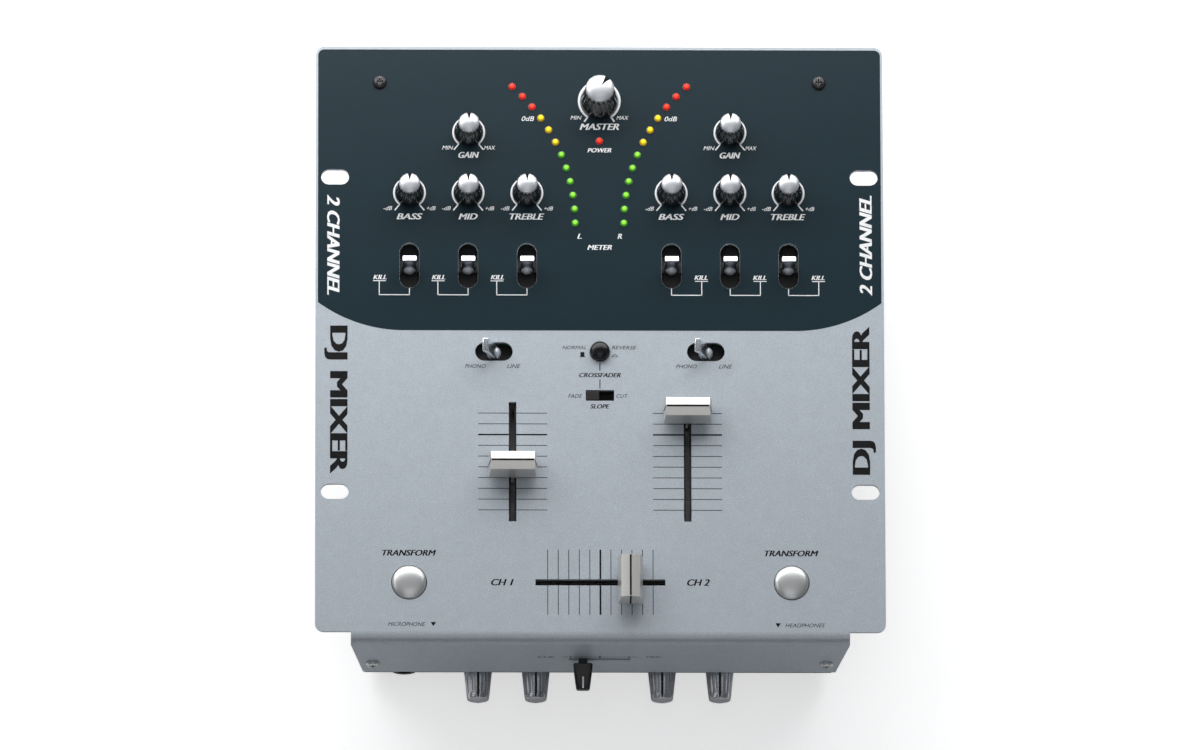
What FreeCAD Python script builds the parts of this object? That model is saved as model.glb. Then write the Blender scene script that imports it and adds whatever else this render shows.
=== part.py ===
"""Two-channel DJ mixer with a ten-inch rack faceplate, modelled as separate sub-parts.

Frame: +X right, +Y to the rear, +Z up, millimetres. The origin is the centre of the
bounding box's base, so the rubber feet stand on Z = 0. Depths on the faceplate are
measured from its front edge ("v") and become Y through at().
"""
import FreeCAD, Part

import math
import os

Vector = FreeCAD.Vector
UP, RIGHT, REAR = Vector(0, 0, 1), Vector(1, 0, 0), Vector(0, 1, 0)

# ---- driving dimensions ----------------------------------------------------
FACE_WIDTH, FACE_DEPTH, FACE_CORNER = 254.0, 271.6, 4.0
FACE_TOP, SHEET = 78.0, 2.0
FACE_UNDER = FACE_TOP - SHEET
FRONT_REACH, REAR_REACH = 21.0, 273.5       # furthest points ahead of and behind the front edge
FRONT_EDGE = (FRONT_REACH - REAR_REACH) / 2  # Y of the faceplate's front edge

FASCIA_HALF, LIP_HALF, LIP_CORNER = 111.0, 105.0, 1.8
FASCIA_LEAN = math.radians(6.0)
FASCIA_TOP_V, LIP_Z, SHELF_END = -4.97, 38.0, 0.4
BEND, LIP_BEND = 5.0, 2.6

TRAY_HALF, TRAY_SHEET, TRAY_FRONT, TRAY_REAR = 104.5, 1.2, 0.6, 264.0
TRAY_BASE = 6.0
TRAY_FLOOR = TRAY_BASE + TRAY_SHEET

RACK_X, RACK_V, RACK_PITCH = 118.25, 137.6, 146.05
RACK_SLOT, RACK_SLOT_WIDTH = 12.4, 7.0

BOARD_TOP, BOARD = 57.6, 1.6                # main circuit board
SHAFT_R, RUNNING = 3.0, 0.05                # rotary shaft and its running clearance
FINGER_GAP = 0.8                            # knob skirt above the faceplate

SMALL_KNOB = (6.5, 4.9, 4.65, 16.0, 3.6)    # radii of skirt, shoulder and cap, height, cap height
LARGE_KNOB = (8.4, 6.6, 6.35, 20.5, 4.6)
MASTER_V, MASTER_TURN = 246.3, -35.0
GAIN_X, GAIN_V = 58.5, 231.6
TONES = {"bass": (-85.0, 32.1), "mid": (-58.8, 58.3), "treble": (-32.5, 84.4)}
TONE_V, KILL_V = 203.3, 169.4
KILL_SLOT, LEVER_SLOT_WIDTH = 20.9, 8.7
INPUT_X, INPUT_V, INPUT_SLOT, INPUT_REST = 47.3, 129.5, 16.8, -15.0
PIVOT_Z, PIVOT_PIN_R, LEVER_LENGTH, LEVER_WIDTH, BOSS_R = 75.0, 0.75, 15.0, 6.4, 3.2
REVERSE_V, REVERSE_R = 129.5, 4.3
SLOPE_V, SLOPE_WINDOW, SLOPE_WINDOW_DEPTH = 109.2, 12.7, 5.0

FADER_X, FADER_FRONT, FADER_REAR, FADER_SLOT_WIDTH = 39.0, 50.8, 106.1, 3.4
FADER_LEFT_V, FADER_RIGHT_V = 75.8, 100.9
CROSS_V, CROSS_HALF, CROSS_SLOT_WIDTH, CROSS_X = 22.7, 28.9, 2.9, 13.3
CUE_Z, CUE_SLOT, CUE_SLOT_WIDTH, CUE_X = 56.0, 27.5, 2.4, -7.5
BUTTON_X, BUTTON_V, BUTTON_R, BUTTON_HOLE_R = 85.1, 22.6, 7.6, 8.0

LED_R, LED_COUNT, LED_STEP, LED_ARC = 1.5, 12, math.radians(4.34), 86.0
LED_FIRST_X, LED_FIRST_V, POWER_LED_V = 10.9, 189.3, 227.6

FRONT_AXIS_Z, FRONT_KNOBS, FRONT_TIP = 28.0, (-54.0, -28.2, 28.2, 54.0), -19.6
MIC_X, PHONES_X, JACK_BORE_R, JACK_COLLAR_R = -87.0, 87.0, 3.25, 5.25
RCA_COLUMNS, RCA_ROWS = (-88.0, -68.0, -30.0, -10.0, 28.0, 48.0), (24.0, 42.0)
RCA_R, RCA_NECK_R, RCA_BORE_R, RCA_PIN_R = 4.15, 3.9, 3.45, 1.6
RCA_SEAT, RCA_REACH = 2.0, 9.5              # where a plug's sleeve stops and starts, off the rear wall
GROUND_X, INLET_X, ROCKER_X, REAR_Z = (-49.0, -78.0), 68.0, 88.0, 33.0
ROCKER_R, ROCKER_PIN_R, ROCKER_SWING = 7.0, 1.2, 10.0

PANEL_SCREW, FASCIA_SCREW_X, FASCIA_SCREW_Z = (98.3, 254.9), 101.2, 51.2
FOOT_X, FOOT_V, FOOT_R = 88.0, (26.0, 240.0), 9.0
POST_X, POST_V, POST_R = 93.0, (46.0, 140.0, 236.0), 3.0


# ---- building helpers ------------------------------------------------------
def at(x, v, z=0.0):
    """A point from X, depth behind the faceplate's front edge, and height."""
    return Vector(x, v + FRONT_EDGE, z)


def block(x0, x1, v0, v1, z0, z1):
    """A box between two corners, with v measured from the faceplate's front edge."""
    return Part.makeBox(x1 - x0, v1 - v0, z1 - z0, at(x0, v0, z0))


def rod(radius, start, length, axis=UP):
    return Part.makeCylinder(radius, length, start, axis)


def outline(corners, place):
    """A closed face through corners (a, b, radius); place(a, b) gives each 3-D point."""
    edges, ends = [], []
    count = len(corners)
    for i, (a, b, radius) in enumerate(corners):
        here = Vector(a, b, 0)
        before = Vector(*corners[i - 1][:2], 0)
        after = Vector(*corners[(i + 1) % count][:2], 0)
        back, ahead = (before - here).normalize(), (after - here).normalize()
        half = back.getAngle(ahead) / 2
        if radius <= 0:
            ends.append((here, here, None))
            continue
        reach = radius / math.tan(half)
        bisector = (back + ahead).normalize()
        centre = here + bisector * (radius / math.sin(half))
        ends.append((here + back * reach, here + ahead * reach, centre - bisector * radius))
    for i, (start, stop, middle) in enumerate(ends):
        if middle is not None:
            edges.append(Part.Arc(place(start), place(middle), place(stop)).toShape())
        following = ends[(i + 1) % count][0]
        if (following - stop).Length > 1e-6:
            edges.append(Part.LineSegment(place(stop), place(following)).toShape())
    return Part.Face(Part.Wire(edges))


def plate(corners, z0, z1):
    """A flat plate from (x, v, radius) corners, between two heights."""
    face = outline(corners, lambda p: at(p.x, p.y, z0))
    return face.extrude(UP * (z1 - z0))


def section(corners, x0, x1):
    """A bar along X from its (v, z, radius) section."""
    face = outline(corners, lambda p: at(x0, p.x, p.y))
    return face.extrude(RIGHT * (x1 - x0))


def stadium(x, v, length, width, z0, z1, along_x=True):
    """A slot cutter with round ends."""
    half = (length / 2, width / 2) if along_x else (width / 2, length / 2)
    radius = width / 2 - 0.001
    corners = [(x + sx * half[0], v + sy * half[1], radius)
               for sx, sy in ((-1, -1), (1, -1), (1, 1), (-1, 1))]
    return plate(corners, z0, z1)


def turned(profile, centre=Vector(0, 0, 0), axis=UP):
    """A solid of revolution from closed (radius, height) points about +Z, then aimed along axis."""
    points = [Vector(r, 0, h) for r, h in profile]
    wire = Part.makePolygon(points + points[:1])
    solid = Part.Face(wire).revolve(Vector(0, 0, 0), UP, 360)
    solid.Placement = FreeCAD.Placement(centre, FreeCAD.Rotation(UP, axis))
    return solid


def moved(shape, offset):
    copy = shape.copy()
    copy.translate(offset)
    return copy


def tapered(sizes, centre):
    """A loft through (half x, half y, z) rectangles about centre."""
    rings = []
    for half_x, half_y, z in sizes:
        corners = [centre + Vector(sx * half_x, sy * half_y, z)
                   for sx, sy in ((-1, -1), (1, -1), (1, 1), (-1, 1))]
        rings.append(Part.makePolygon(corners + corners[:1]))
    return Part.makeLoft(rings, True, True)


def export(node, *solids):
    shape = solids[0] if len(solids) == 1 else Part.makeCompound(list(solids))
    shape.exportStep("parts/" + node + ".step")


def fascia_v(z, depth=0.0):
    """Depth of the fascia's outer face, or of a face that lies depth behind it, at height z."""
    top_z = FACE_TOP - BEND + BEND * math.sin(FASCIA_LEAN)
    return FASCIA_TOP_V - (top_z - z) * math.tan(FASCIA_LEAN) + depth / math.cos(FASCIA_LEAN)


# ---- shared hardware -------------------------------------------------------
def pan_screw(head_r, head_h, shank_r, length):
    """A cross-recess pan-head screw along -Z with its seat at Z = 0."""
    profile = [(0, -length), (shank_r, -length), (shank_r, 0), (head_r, 0), (head_r, head_h * 0.45),
               (head_r * 0.82, head_h * 0.82), (head_r * 0.45, head_h), (0, head_h)]
    screw = turned(profile)
    for width, depth in ((head_r * 1.1, head_r * 0.26), (head_r * 0.26, head_r * 1.1)):
        recess = Part.makeBox(width, depth, head_h, Vector(-width / 2, -depth / 2, head_h * 0.35))
        screw = screw.cut(recess)
    return screw


def aimed(shape, point, axis):
    copy = shape.copy()
    copy.Placement = FreeCAD.Placement(point, FreeCAD.Rotation(UP, axis))
    return copy


# ---- casing ----------------------------------------------------------------
def led_places():
    """The two curved meter columns, as (x, v, rank from the bottom)."""
    for rank in range(LED_COUNT):
        turn = LED_STEP * rank
        x = LED_FIRST_X + LED_ARC * (1 - math.cos(turn))
        for side in (-1, 1):
            yield side * x, LED_FIRST_V + LED_ARC * math.sin(turn), rank


def knob_places():
    """Every small rotary control on the faceplate, by name."""
    places = {"gain_left": (-GAIN_X, GAIN_V), "gain_right": (GAIN_X, GAIN_V)}
    for tone, (left, right) in TONES.items():
        places[tone + "_left"] = (left, TONE_V)
        places[tone + "_right"] = (right, TONE_V)
    return places


def kill_places():
    return {tone + side: (x, KILL_V) for tone, pair in TONES.items()
            for side, x in zip(("_left", "_right"), pair)}


def make_top_panel():
    z0, z1 = FACE_UNDER, FACE_TOP
    flat = plate([(-FACE_WIDTH / 2, 0, FACE_CORNER), (FACE_WIDTH / 2, 0, FACE_CORNER),
                  (FACE_WIDTH / 2, FACE_DEPTH, FACE_CORNER), (-FACE_WIDTH / 2, FACE_DEPTH, FACE_CORNER)],
                 z0, z1)
    corner_v = fascia_v(FACE_TOP)
    inner_v = fascia_v(FACE_UNDER, SHEET)
    lip_v, lip_inner_v = fascia_v(LIP_Z), fascia_v(LIP_Z + SHEET, SHEET)
    bent = section([(6, z1, 0), (corner_v, z1, BEND), (lip_v, LIP_Z, LIP_BEND), (SHELF_END, LIP_Z, 0),
                    (SHELF_END, LIP_Z + SHEET, 0), (lip_inner_v, LIP_Z + SHEET, LIP_BEND - SHEET),
                    (inner_v, z0, BEND - SHEET), (6, z0, 0)], -FASCIA_HALF, FASCIA_HALF)
    front_outline = [(-FASCIA_HALF, FACE_TOP + 1, 0), (-FASCIA_HALF, FACE_TOP - BEND, 0),
                     (-LIP_HALF, LIP_Z, LIP_CORNER), (LIP_HALF, LIP_Z, LIP_CORNER),
                     (FASCIA_HALF, FACE_TOP - BEND, 0), (FASCIA_HALF, FACE_TOP + 1, 0)]
    keep = outline(front_outline, lambda p: at(p.x, -12, p.y)).extrude(REAR * 20)
    panel = flat.fuse(bent.common(keep))

    cut_z0, cut_z1 = z0 - 1, z1 + 1
    cuts = [rod(SHAFT_R + 0.8, at(x, v, cut_z0), 4) for x, v in knob_places().values()]
    cuts.append(rod(SHAFT_R + 0.8, at(0, MASTER_V, cut_z0), 4))
    cuts += [rod(LED_R + 0.1, at(x, v, cut_z0), 4) for x, v, _ in led_places()]
    cuts.append(rod(LED_R + 0.1, at(0, POWER_LED_V, cut_z0), 4))
    cuts += [stadium(x, v, KILL_SLOT, LEVER_SLOT_WIDTH, cut_z0, cut_z1, False)
             for x, v in kill_places().values()]
    cuts += [stadium(side * INPUT_X, INPUT_V, INPUT_SLOT, LEVER_SLOT_WIDTH, cut_z0, cut_z1)
             for side in (-1, 1)]
    cuts.append(rod(REVERSE_R + 0.3, at(0, REVERSE_V, cut_z0), 4))
    half_x, half_v = SLOPE_WINDOW / 2, SLOPE_WINDOW_DEPTH / 2
    cuts.append(block(-half_x, half_x, SLOPE_V - half_v, SLOPE_V + half_v, cut_z0, cut_z1))
    for side in (-1, 1):
        half = FADER_SLOT_WIDTH / 2
        cuts.append(block(side * FADER_X - half, side * FADER_X + half,
                          FADER_FRONT, FADER_REAR, cut_z0, cut_z1))
        cuts.append(rod(BUTTON_HOLE_R, at(side * BUTTON_X, BUTTON_V, cut_z0), 4))
        cuts.append(rod(1.6, at(side * PANEL_SCREW[0], PANEL_SCREW[1], cut_z0), 4))
        cuts.append(rod(1.6, at(side * FASCIA_SCREW_X, fascia_v(FASCIA_SCREW_Z) - 3, FASCIA_SCREW_Z), 8,
                        REAR))
        for end in (-1, 1):
            cuts.append(stadium(side * RACK_X, RACK_V + end * RACK_PITCH / 2, RACK_SLOT,
                                RACK_SLOT_WIDTH, cut_z0, cut_z1))
    half = CROSS_SLOT_WIDTH / 2
    cuts.append(block(-CROSS_HALF, CROSS_HALF, CROSS_V - half, CROSS_V + half, cut_z0, cut_z1))
    half = CUE_SLOT_WIDTH / 2
    cuts.append(block(-CUE_SLOT / 2, CUE_SLOT / 2, -10, -3, CUE_Z - half, CUE_Z + half))
    export("top_panel", panel.cut(cuts).removeSplitter())


def make_tray():
    """A folded tray: floor, sloped-front side walls with fixing ears, front and rear walls."""
    outer, inner = TRAY_HALF, TRAY_HALF - TRAY_SHEET
    front, rear = TRAY_FRONT, TRAY_REAR
    ear_z0, ear_z1 = LIP_Z + SHEET + 1.2, 68.0
    wall_section = [(front, TRAY_BASE, 0), (rear, TRAY_BASE, 0), (rear, FACE_UNDER, 0),
                    (3, FACE_UNDER, 0), (3, 71, 0), (fascia_v(ear_z1, SHEET), ear_z1, 0),
                    (fascia_v(ear_z0, SHEET), ear_z0, 0), (front, ear_z0, 0)]
    ear_section = [(fascia_v(46, SHEET), 46, 0), (fascia_v(58, SHEET), 58, 0),
                   (fascia_v(58, SHEET + TRAY_SHEET), 58, 0), (fascia_v(46, SHEET + TRAY_SHEET), 46, 0)]
    solids = [block(-outer, outer, front, rear, TRAY_BASE, TRAY_FLOOR),
              block(-outer, outer, front, front + TRAY_SHEET, TRAY_BASE, LIP_Z + 5),
              block(-outer, outer, rear - TRAY_SHEET, rear, TRAY_BASE, FACE_UNDER)]
    for low, high in ((-outer, -inner), (inner, outer)):
        solids.append(section(wall_section, low, high))
    for low, high in ((-outer, -96), (96, outer)):
        solids.append(section(ear_section, low, high))
    for low, high in ((-outer, -92), (92, outer)):
        solids.append(block(low, high, 234, rear, FACE_UNDER - TRAY_SHEET, FACE_UNDER))
    tray = solids[0].multiFuse(solids[1:])

    cuts = [rod(SHAFT_R + 1.45, at(x, -1, FRONT_AXIS_Z), 5, REAR) for x in FRONT_KNOBS]
    cuts += [rod(JACK_COLLAR_R + 0.1, at(x, -1, FRONT_AXIS_Z), 5, REAR) for x in (MIC_X, PHONES_X)]
    cuts += [rod(RCA_NECK_R + 0.1, at(x, rear - 3, z), 5, REAR) for x in RCA_COLUMNS for z in RCA_ROWS]
    cuts += [rod(2.1, at(x, rear - 3, REAR_Z), 5, REAR) for x in GROUND_X]
    cuts.append(rod(4.1, at(INLET_X, rear - 3, REAR_Z), 5, REAR))
    cuts.append(block(ROCKER_X - 5.6, ROCKER_X + 5.6, rear - 3, rear + 2, REAR_Z - 8.6, REAR_Z + 8.6))
    for side in (-1, 1):
        cuts.append(rod(1.5, at(side * PANEL_SCREW[0], PANEL_SCREW[1], FACE_UNDER - 3), 5))
        cuts.append(rod(2.0, at(side * FASCIA_SCREW_X, -8, FASCIA_SCREW_Z), 10, REAR))
        for v in FOOT_V:
            cuts.append(rod(1.6, at(side * FOOT_X, v, TRAY_BASE - 1), 4))
        for i in range(9):
            cuts.append(stadium(side * 60, 108 + 9 * i, 50, 3.2, TRAY_BASE - 1, TRAY_FLOOR + 1))
    export("chassis_tray", tray.cut(cuts).removeSplitter())


def make_fasteners_and_feet():
    black = pan_screw(3.1, 1.7, 1.45, 7)
    export("panel_screws", *[moved(black, at(side * PANEL_SCREW[0], PANEL_SCREW[1], FACE_TOP))
                             for side in (-1, 1)])
    out = Vector(0, -math.cos(FASCIA_LEAN), math.sin(FASCIA_LEAN))
    silver = pan_screw(3.1, 1.7, 1.4, 5)
    export("fascia_screws", *[aimed(silver, at(side * FASCIA_SCREW_X, fascia_v(FASCIA_SCREW_Z),
                                               FASCIA_SCREW_Z), out) for side in (-1, 1)])
    foot = turned([(4, 0), (FOOT_R - 1, 0), (FOOT_R, 1), (FOOT_R - 0.8, TRAY_BASE), (1.6, TRAY_BASE),
                   (1.6, 3), (4, 3)])
    screw = pan_screw(3.2, 1.6, 1.5, 7)
    spots = [at(side * FOOT_X, v) for side in (-1, 1) for v in FOOT_V]
    export("rubber_feet", *[moved(foot, spot) for spot in spots])
    export("foot_screws", *[aimed(screw, spot + UP * 3, -UP) for spot in spots])
    post = turned([(0, TRAY_FLOOR), (POST_R, TRAY_FLOOR), (POST_R, BOARD_TOP - BOARD),
                   (0, BOARD_TOP - BOARD)])
    head = turned([(0, BOARD_TOP), (2.8, BOARD_TOP), (2.6, BOARD_TOP + 1.8), (0, BOARD_TOP + 2)])
    spots = [at(side * POST_X, v) for side in (-1, 1) for v in POST_V]
    export("board_standoffs", *[moved(part, spot) for spot in spots for part in (post, head)])


def make_boards():
    export("main_circuit_board", block(-100, 100, 15, 260, BOARD_TOP - BOARD, BOARD_TOP))
    export("front_circuit_board", block(-72, 72, 12, 13.6, 10, 54))
    holes = [rod(RCA_NECK_R + 0.1, at(x, 250, z), 5, REAR) for x in RCA_COLUMNS for z in RCA_ROWS]
    export("rear_circuit_board", block(-98, 58, 252, 253.6, 12, 53).cut(holes))


# ---- rotary controls -------------------------------------------------------
def knob(base_r, top_r, cap_r, height, cap_height):
    """A fluted-knob blank on Z = 0: skirted body, domed cap with a pointer groove, and shaft."""
    shoulder = height - cap_height
    body = turned([(SHAFT_R, 0), (base_r, 0), (base_r, 1.0), (top_r + 0.5, shoulder * 0.45),
                   (top_r, shoulder - 0.8), (cap_r - 0.4, shoulder), (0, shoulder), (0, shoulder - 2),
                   (SHAFT_R, shoulder - 2)])
    cap = turned([(0, shoulder), (cap_r, shoulder), (cap_r, height - cap_height * 0.35),
                  (cap_r * 0.8, height - cap_height * 0.1), (cap_r * 0.4, height), (0, height)])
    groove = Part.makeBox(0.9, cap_r, 1.0, Vector(-0.45, cap_r * 0.4, height - 0.8))
    shaft = turned([(0, -FACE_UNDER + 61.5), (SHAFT_R, -FACE_UNDER + 61.5), (SHAFT_R, shoulder - 2),
                    (0, shoulder - 2)])
    return Part.makeCompound([body, cap.cut(groove), shaft])


def make_knobs():
    seat = FACE_TOP + FINGER_GAP
    small = knob(*SMALL_KNOB)
    pot = Part.makeBox(11, 10, 8, Vector(-5.5, -5, BOARD_TOP))
    pot = pot.fuse(turned([(0, 60), (4.5, 60), (4.5, 75), (0, 75)]))
    pot = pot.cut(rod(SHAFT_R + RUNNING, Vector(0, 0, 60), 20))
    pots = []
    for name, (x, v) in knob_places().items():
        export("knob_" + name, moved(small, at(x, v, seat)))
        pots.append(moved(pot, at(x, v)))
    large = knob(*LARGE_KNOB)
    large.rotate(Vector(0, 0, 0), UP, MASTER_TURN)
    export("knob_master", moved(large, at(0, MASTER_V, seat)))
    pots.append(moved(pot, at(0, MASTER_V)))
    export("rotary_pots", *pots)


def make_front_knobs():
    length = -1.2 - FRONT_TIP
    body = turned([(SHAFT_R, 0), (6.9, 0), (6.9, 0.8), (6.45, 1.4), (4.95, length - 2.2),
                   (4.6, length - 1.4), (0, length), (0, length - 4), (SHAFT_R, length - 4)])
    shaft = turned([(0, -10.5), (SHAFT_R, -10.5), (SHAFT_R, length - 4), (0, length - 4)])
    line = Part.makeBox(0.9, 8, length - 6, Vector(-0.45, 5.2, 2.5))
    knob_shape = Part.makeCompound([body.cut(line), shaft])
    pot = turned([(0, 0), (4.3, 0), (4.3, 4.6), (0, 4.6)]).fuse(Part.makeBox(11, 11, 8.9, Vector(-5.5, -5.5, -7.9)))
    pot = pot.cut(rod(SHAFT_R + RUNNING, Vector(0, 0, -7), 14))
    names = ("microphone_level", "microphone_tone", "cue_mix", "headphone_level")
    pots = []
    for name, x in zip(names, FRONT_KNOBS):
        export("knob_" + name, front_facing(knob_shape, at(x, -1.2, FRONT_AXIS_Z)))
        pots.append(front_facing(pot, at(x, 4, FRONT_AXIS_Z)))
    export("front_pots", *pots)


def front_facing(shape, point):
    """Lays a Z-axis shape forward, so that its +Z points to -Y and its +Y to +Z."""
    copy = shape.copy()
    copy.Placement = FreeCAD.Placement(point, FreeCAD.Rotation(RIGHT, 90))
    return copy


# ---- switches --------------------------------------------------------------
def lever():
    """A flat paddle lever on a ball boss, pivot at the origin, swinging along Y."""
    half = LEVER_WIDTH / 2
    tip = LEVER_LENGTH
    points = [Vector(-half, 1.7, 0), Vector(-half, 1.15, tip - 0.9), Vector(-half, 0.5, tip),
              Vector(-half, -0.5, tip), Vector(-half, -1.15, tip - 0.9), Vector(-half, -0.75, tip * 0.5),
              Vector(-half, -1.7, 0)]
    edges = [Part.LineSegment(points[0], points[1]).toShape(),
             Part.Arc(points[1], Vector(-half, 0, tip + 0.05), points[4]).toShape(),
             Part.Arc(points[4], points[5], points[6]).toShape(),
             Part.LineSegment(points[6], points[0]).toShape()]
    paddle = Part.Face(Part.Wire(edges)).extrude(RIGHT * LEVER_WIDTH)
    shape = paddle.fuse(Part.makeSphere(BOSS_R))
    pin_hole = rod(PIVOT_PIN_R + RUNNING, Vector(-8, 0, 0), 16, RIGHT)
    return shape.cut(pin_hole).removeSplitter()


def toggle_body():
    """The lever's fixed housing: a body on the board and two ears that hold the pivot pin."""
    top = PIVOT_Z - BOSS_R - 0.3
    shape = Part.makeBox(9.4, 22, top - BOARD_TOP, Vector(-4.7, -11, BOARD_TOP - PIVOT_Z))
    for x in (-4.6, 3.5):
        shape = shape.fuse(Part.makeBox(1.1, 5, FACE_UNDER - top - 0.1, Vector(x, -2.5, top - PIVOT_Z)))
    return shape.fuse(rod(PIVOT_PIN_R, Vector(-4.5, 0, 0), 9, RIGHT))


def make_toggles():
    paddle, body = lever(), toggle_body()
    bodies = []
    for name, (x, v) in kill_places().items():
        export("kill_lever_" + name, moved(paddle, at(x, v, PIVOT_Z)))
        bodies.append(moved(body, at(x, v, PIVOT_Z)))
    across = body.copy()
    across.rotate(Vector(0, 0, 0), UP, 90)
    leaning = paddle.copy()
    leaning.rotate(Vector(0, 0, 0), UP, -90)
    leaning.rotate(Vector(0, 0, 0), REAR, INPUT_REST)
    for name, side in (("left", -1), ("right", 1)):
        export("input_lever_" + name, moved(leaning, at(side * INPUT_X, INPUT_V, PIVOT_Z)))
        bodies.append(moved(across, at(side * INPUT_X, INPUT_V, PIVOT_Z)))
    export("lever_switch_bodies", *bodies)


def make_buttons_and_slope():
    dome = turned([(0, 62), (1.5, 62), (1.5, 70), (REVERSE_R, 70), (REVERSE_R, 80.2), (3.7, 81),
                   (2.4, 81.6), (0, 81.8)])
    export("reverse_button", moved(dome, at(0, REVERSE_V)))
    body = block(-4.5, 4.5, REVERSE_V - 4.5, REVERSE_V + 4.5, BOARD_TOP, 67)
    export("reverse_switch_body", body.cut(rod(1.5 + RUNNING, at(0, REVERSE_V, 59), 10)))

    half_x, half_v = SLOPE_WINDOW / 2, SLOPE_WINDOW_DEPTH / 2
    frame = block(-half_x - 2, half_x + 2, SLOPE_V - half_v - 2, SLOPE_V + half_v + 2, BOARD_TOP, FACE_UNDER)
    cavity = block(-half_x, half_x, SLOPE_V - half_v, SLOPE_V + half_v, 70, FACE_TOP)
    export("slope_switch_body", frame.cut(cavity))
    nub = tapered([(2.9, 2.2, 70.2), (2.9, 2.2, 76.6), (2.5, 1.9, 78.4)], at(-3.2, SLOPE_V))
    grips = [block(-3.3 + dx, -3.1 + dx, SLOPE_V - 2, SLOPE_V + 2, 78.0, 79) for dx in (-1.2, 0, 1.2)]
    export("slope_slider", nub.cut(grips))

    cap = turned([(0, 66), (2, 66), (2, 73.4), (9.2, 73.4), (9.2, 75.6), (BUTTON_R, 75.6),
                  (BUTTON_R, 78.7), (7.2, 79.1), (5.2, 79.55), (2.6, 79.85), (0, 79.95)])
    tact = Part.makeBox(12, 12, 4, Vector(-6, -6, BOARD_TOP)).fuse(rod(1.8, Vector(0, 0, BOARD_TOP), 6))
    for name, side in (("left", -1), ("right", 1)):
        export("transform_button_" + name, moved(cap, at(side * BUTTON_X, BUTTON_V)))
    export("transform_switches", *[moved(tact, at(side * BUTTON_X, BUTTON_V)) for side in (-1, 1)])


# ---- faders ----------------------------------------------------------------
def fader_cap(stem_bottom):
    """A cap whose width lies along X, with its steel stem and carriage below."""
    cap = tapered([(10.7, 5.55, 81.0), (10.45, 5.3, 82.4), (9.7, 4.15, 91.0)], Vector(0, 0, 0))
    cap = cap.makeFillet(0.7, [e for e in cap.Edges if e.CenterOfMass.z > 84])
    stem = Part.makeBox(1.2, 4.4, 81.0 - stem_bottom, Vector(-0.6, -2.2, stem_bottom))
    carriage = Part.makeBox(8, 9, 3, Vector(-4, -4.5, stem_bottom - 3))
    return Part.makeCompound([cap, stem.fuse(carriage)])


def fader_body(length):
    """A steel fader housing along Y with a slotted lid and an open inside for the carriage."""
    body = Part.makeBox(13, length, 13.4, Vector(-6.5, -length / 2, BOARD_TOP))
    inside = Part.makeBox(10, length - 3, 10.6, Vector(-5, -length / 2 + 1.5, BOARD_TOP + 1.2))
    slit = Part.makeBox(2.6, length - 6, 4, Vector(-1.3, -length / 2 + 3, BOARD_TOP + 10))
    return body.cut([inside, slit])


def dust_shield(length):
    """A thin black strip below the faceplate's slot, slit for the stem."""
    strip = Part.makeBox(13, length, 0.5, Vector(-6.5, -length / 2, FACE_UNDER - 0.6))
    return strip.cut(Part.makeBox(1.8, length - 6, 2, Vector(-0.9, -length / 2 + 3, FACE_UNDER - 1.2)))


def make_faders():
    cap, body, shield = fader_cap(63.0), fader_body(70.0), dust_shield(66.0)
    middle = (FADER_FRONT + FADER_REAR) / 2
    export("channel_fader_left", moved(cap, at(-FADER_X, FADER_LEFT_V)))
    export("channel_fader_right", moved(cap, at(FADER_X, FADER_RIGHT_V)))
    quarter = FreeCAD.Placement(Vector(0, 0, 0), FreeCAD.Rotation(UP, 90))
    turned_cap, turned_body, turned_shield = cap.copy(), body.copy(), shield.copy()
    for shape in (turned_cap, turned_body, turned_shield):
        shape.Placement = quarter
    export("crossfader", moved(turned_cap, at(CROSS_X, CROSS_V)))
    bodies = [moved(body, at(side * FADER_X, middle)) for side in (-1, 1)]
    shields = [moved(shield, at(side * FADER_X, middle)) for side in (-1, 1)]
    export("fader_bodies", *bodies, moved(turned_body, at(0, CROSS_V)))
    export("fader_dust_shields", *shields, moved(turned_shield, at(0, CROSS_V)))


def make_cue_slider():
    """The fascia's horizontal slider: a housing behind the fascia and a cap that stands forward."""
    half = CUE_SLOT / 2
    front = fascia_v(CUE_Z)
    body = block(-half - 3, half + 3, -3.6, 5, CUE_Z - 5, CUE_Z + 5)
    body = body.cut(block(-half, half, -2.4, 3.8, CUE_Z - 3.6, CUE_Z + 3.6))
    body = body.cut(block(-half, half, -5, 0, CUE_Z - 1.1, CUE_Z + 1.1))
    legs = [block(x - 1, x + 1, 5, 12, CUE_Z - 5, CUE_Z - 2.5) for x in (-12, 12)]
    export("cue_slider_body", body.multiFuse(legs))
    tip = -FRONT_REACH
    cap = tapered([(4.35, 3.6, 0), (4.2, 3.4, 1.0), (2.95, 2.1, front - 2.5 - tip)], Vector(0, 0, 0))
    cap = front_facing(cap, at(CUE_X, front - 2.5, CUE_Z))
    stem = block(CUE_X - 2, CUE_X + 2, front - 2.5, -1.5, CUE_Z - 0.7, CUE_Z + 0.7)
    carriage = block(CUE_X - 4, CUE_X + 4, -1.5, 2.5, CUE_Z - 2.8, CUE_Z + 2.8)
    export("cue_slider", cap, stem.fuse(carriage))


# ---- meter -----------------------------------------------------------------
def make_leds():
    lens = turned([(0, 71), (1.9, 71), (1.9, 72), (LED_R, 72), (LED_R, 78.2), (1.35, 78.9), (0.8, 79.4),
                   (0, 79.6)])
    leads = [rod(0.25, Vector(x, 0, BOARD_TOP), 13.6) for x in (-1.1, 1.1)]
    led = lens.multiFuse(leads)
    groups = {"green": [], "yellow": [], "red": [moved(led, at(0, POWER_LED_V))]}
    for x, v, rank in led_places():
        colour = "green" if rank < 6 else "yellow" if rank < 9 else "red"
        groups[colour].append(moved(led, at(x, v)))
    for colour, leds in groups.items():
        export("meter_leds_" + colour, *leds)


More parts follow.
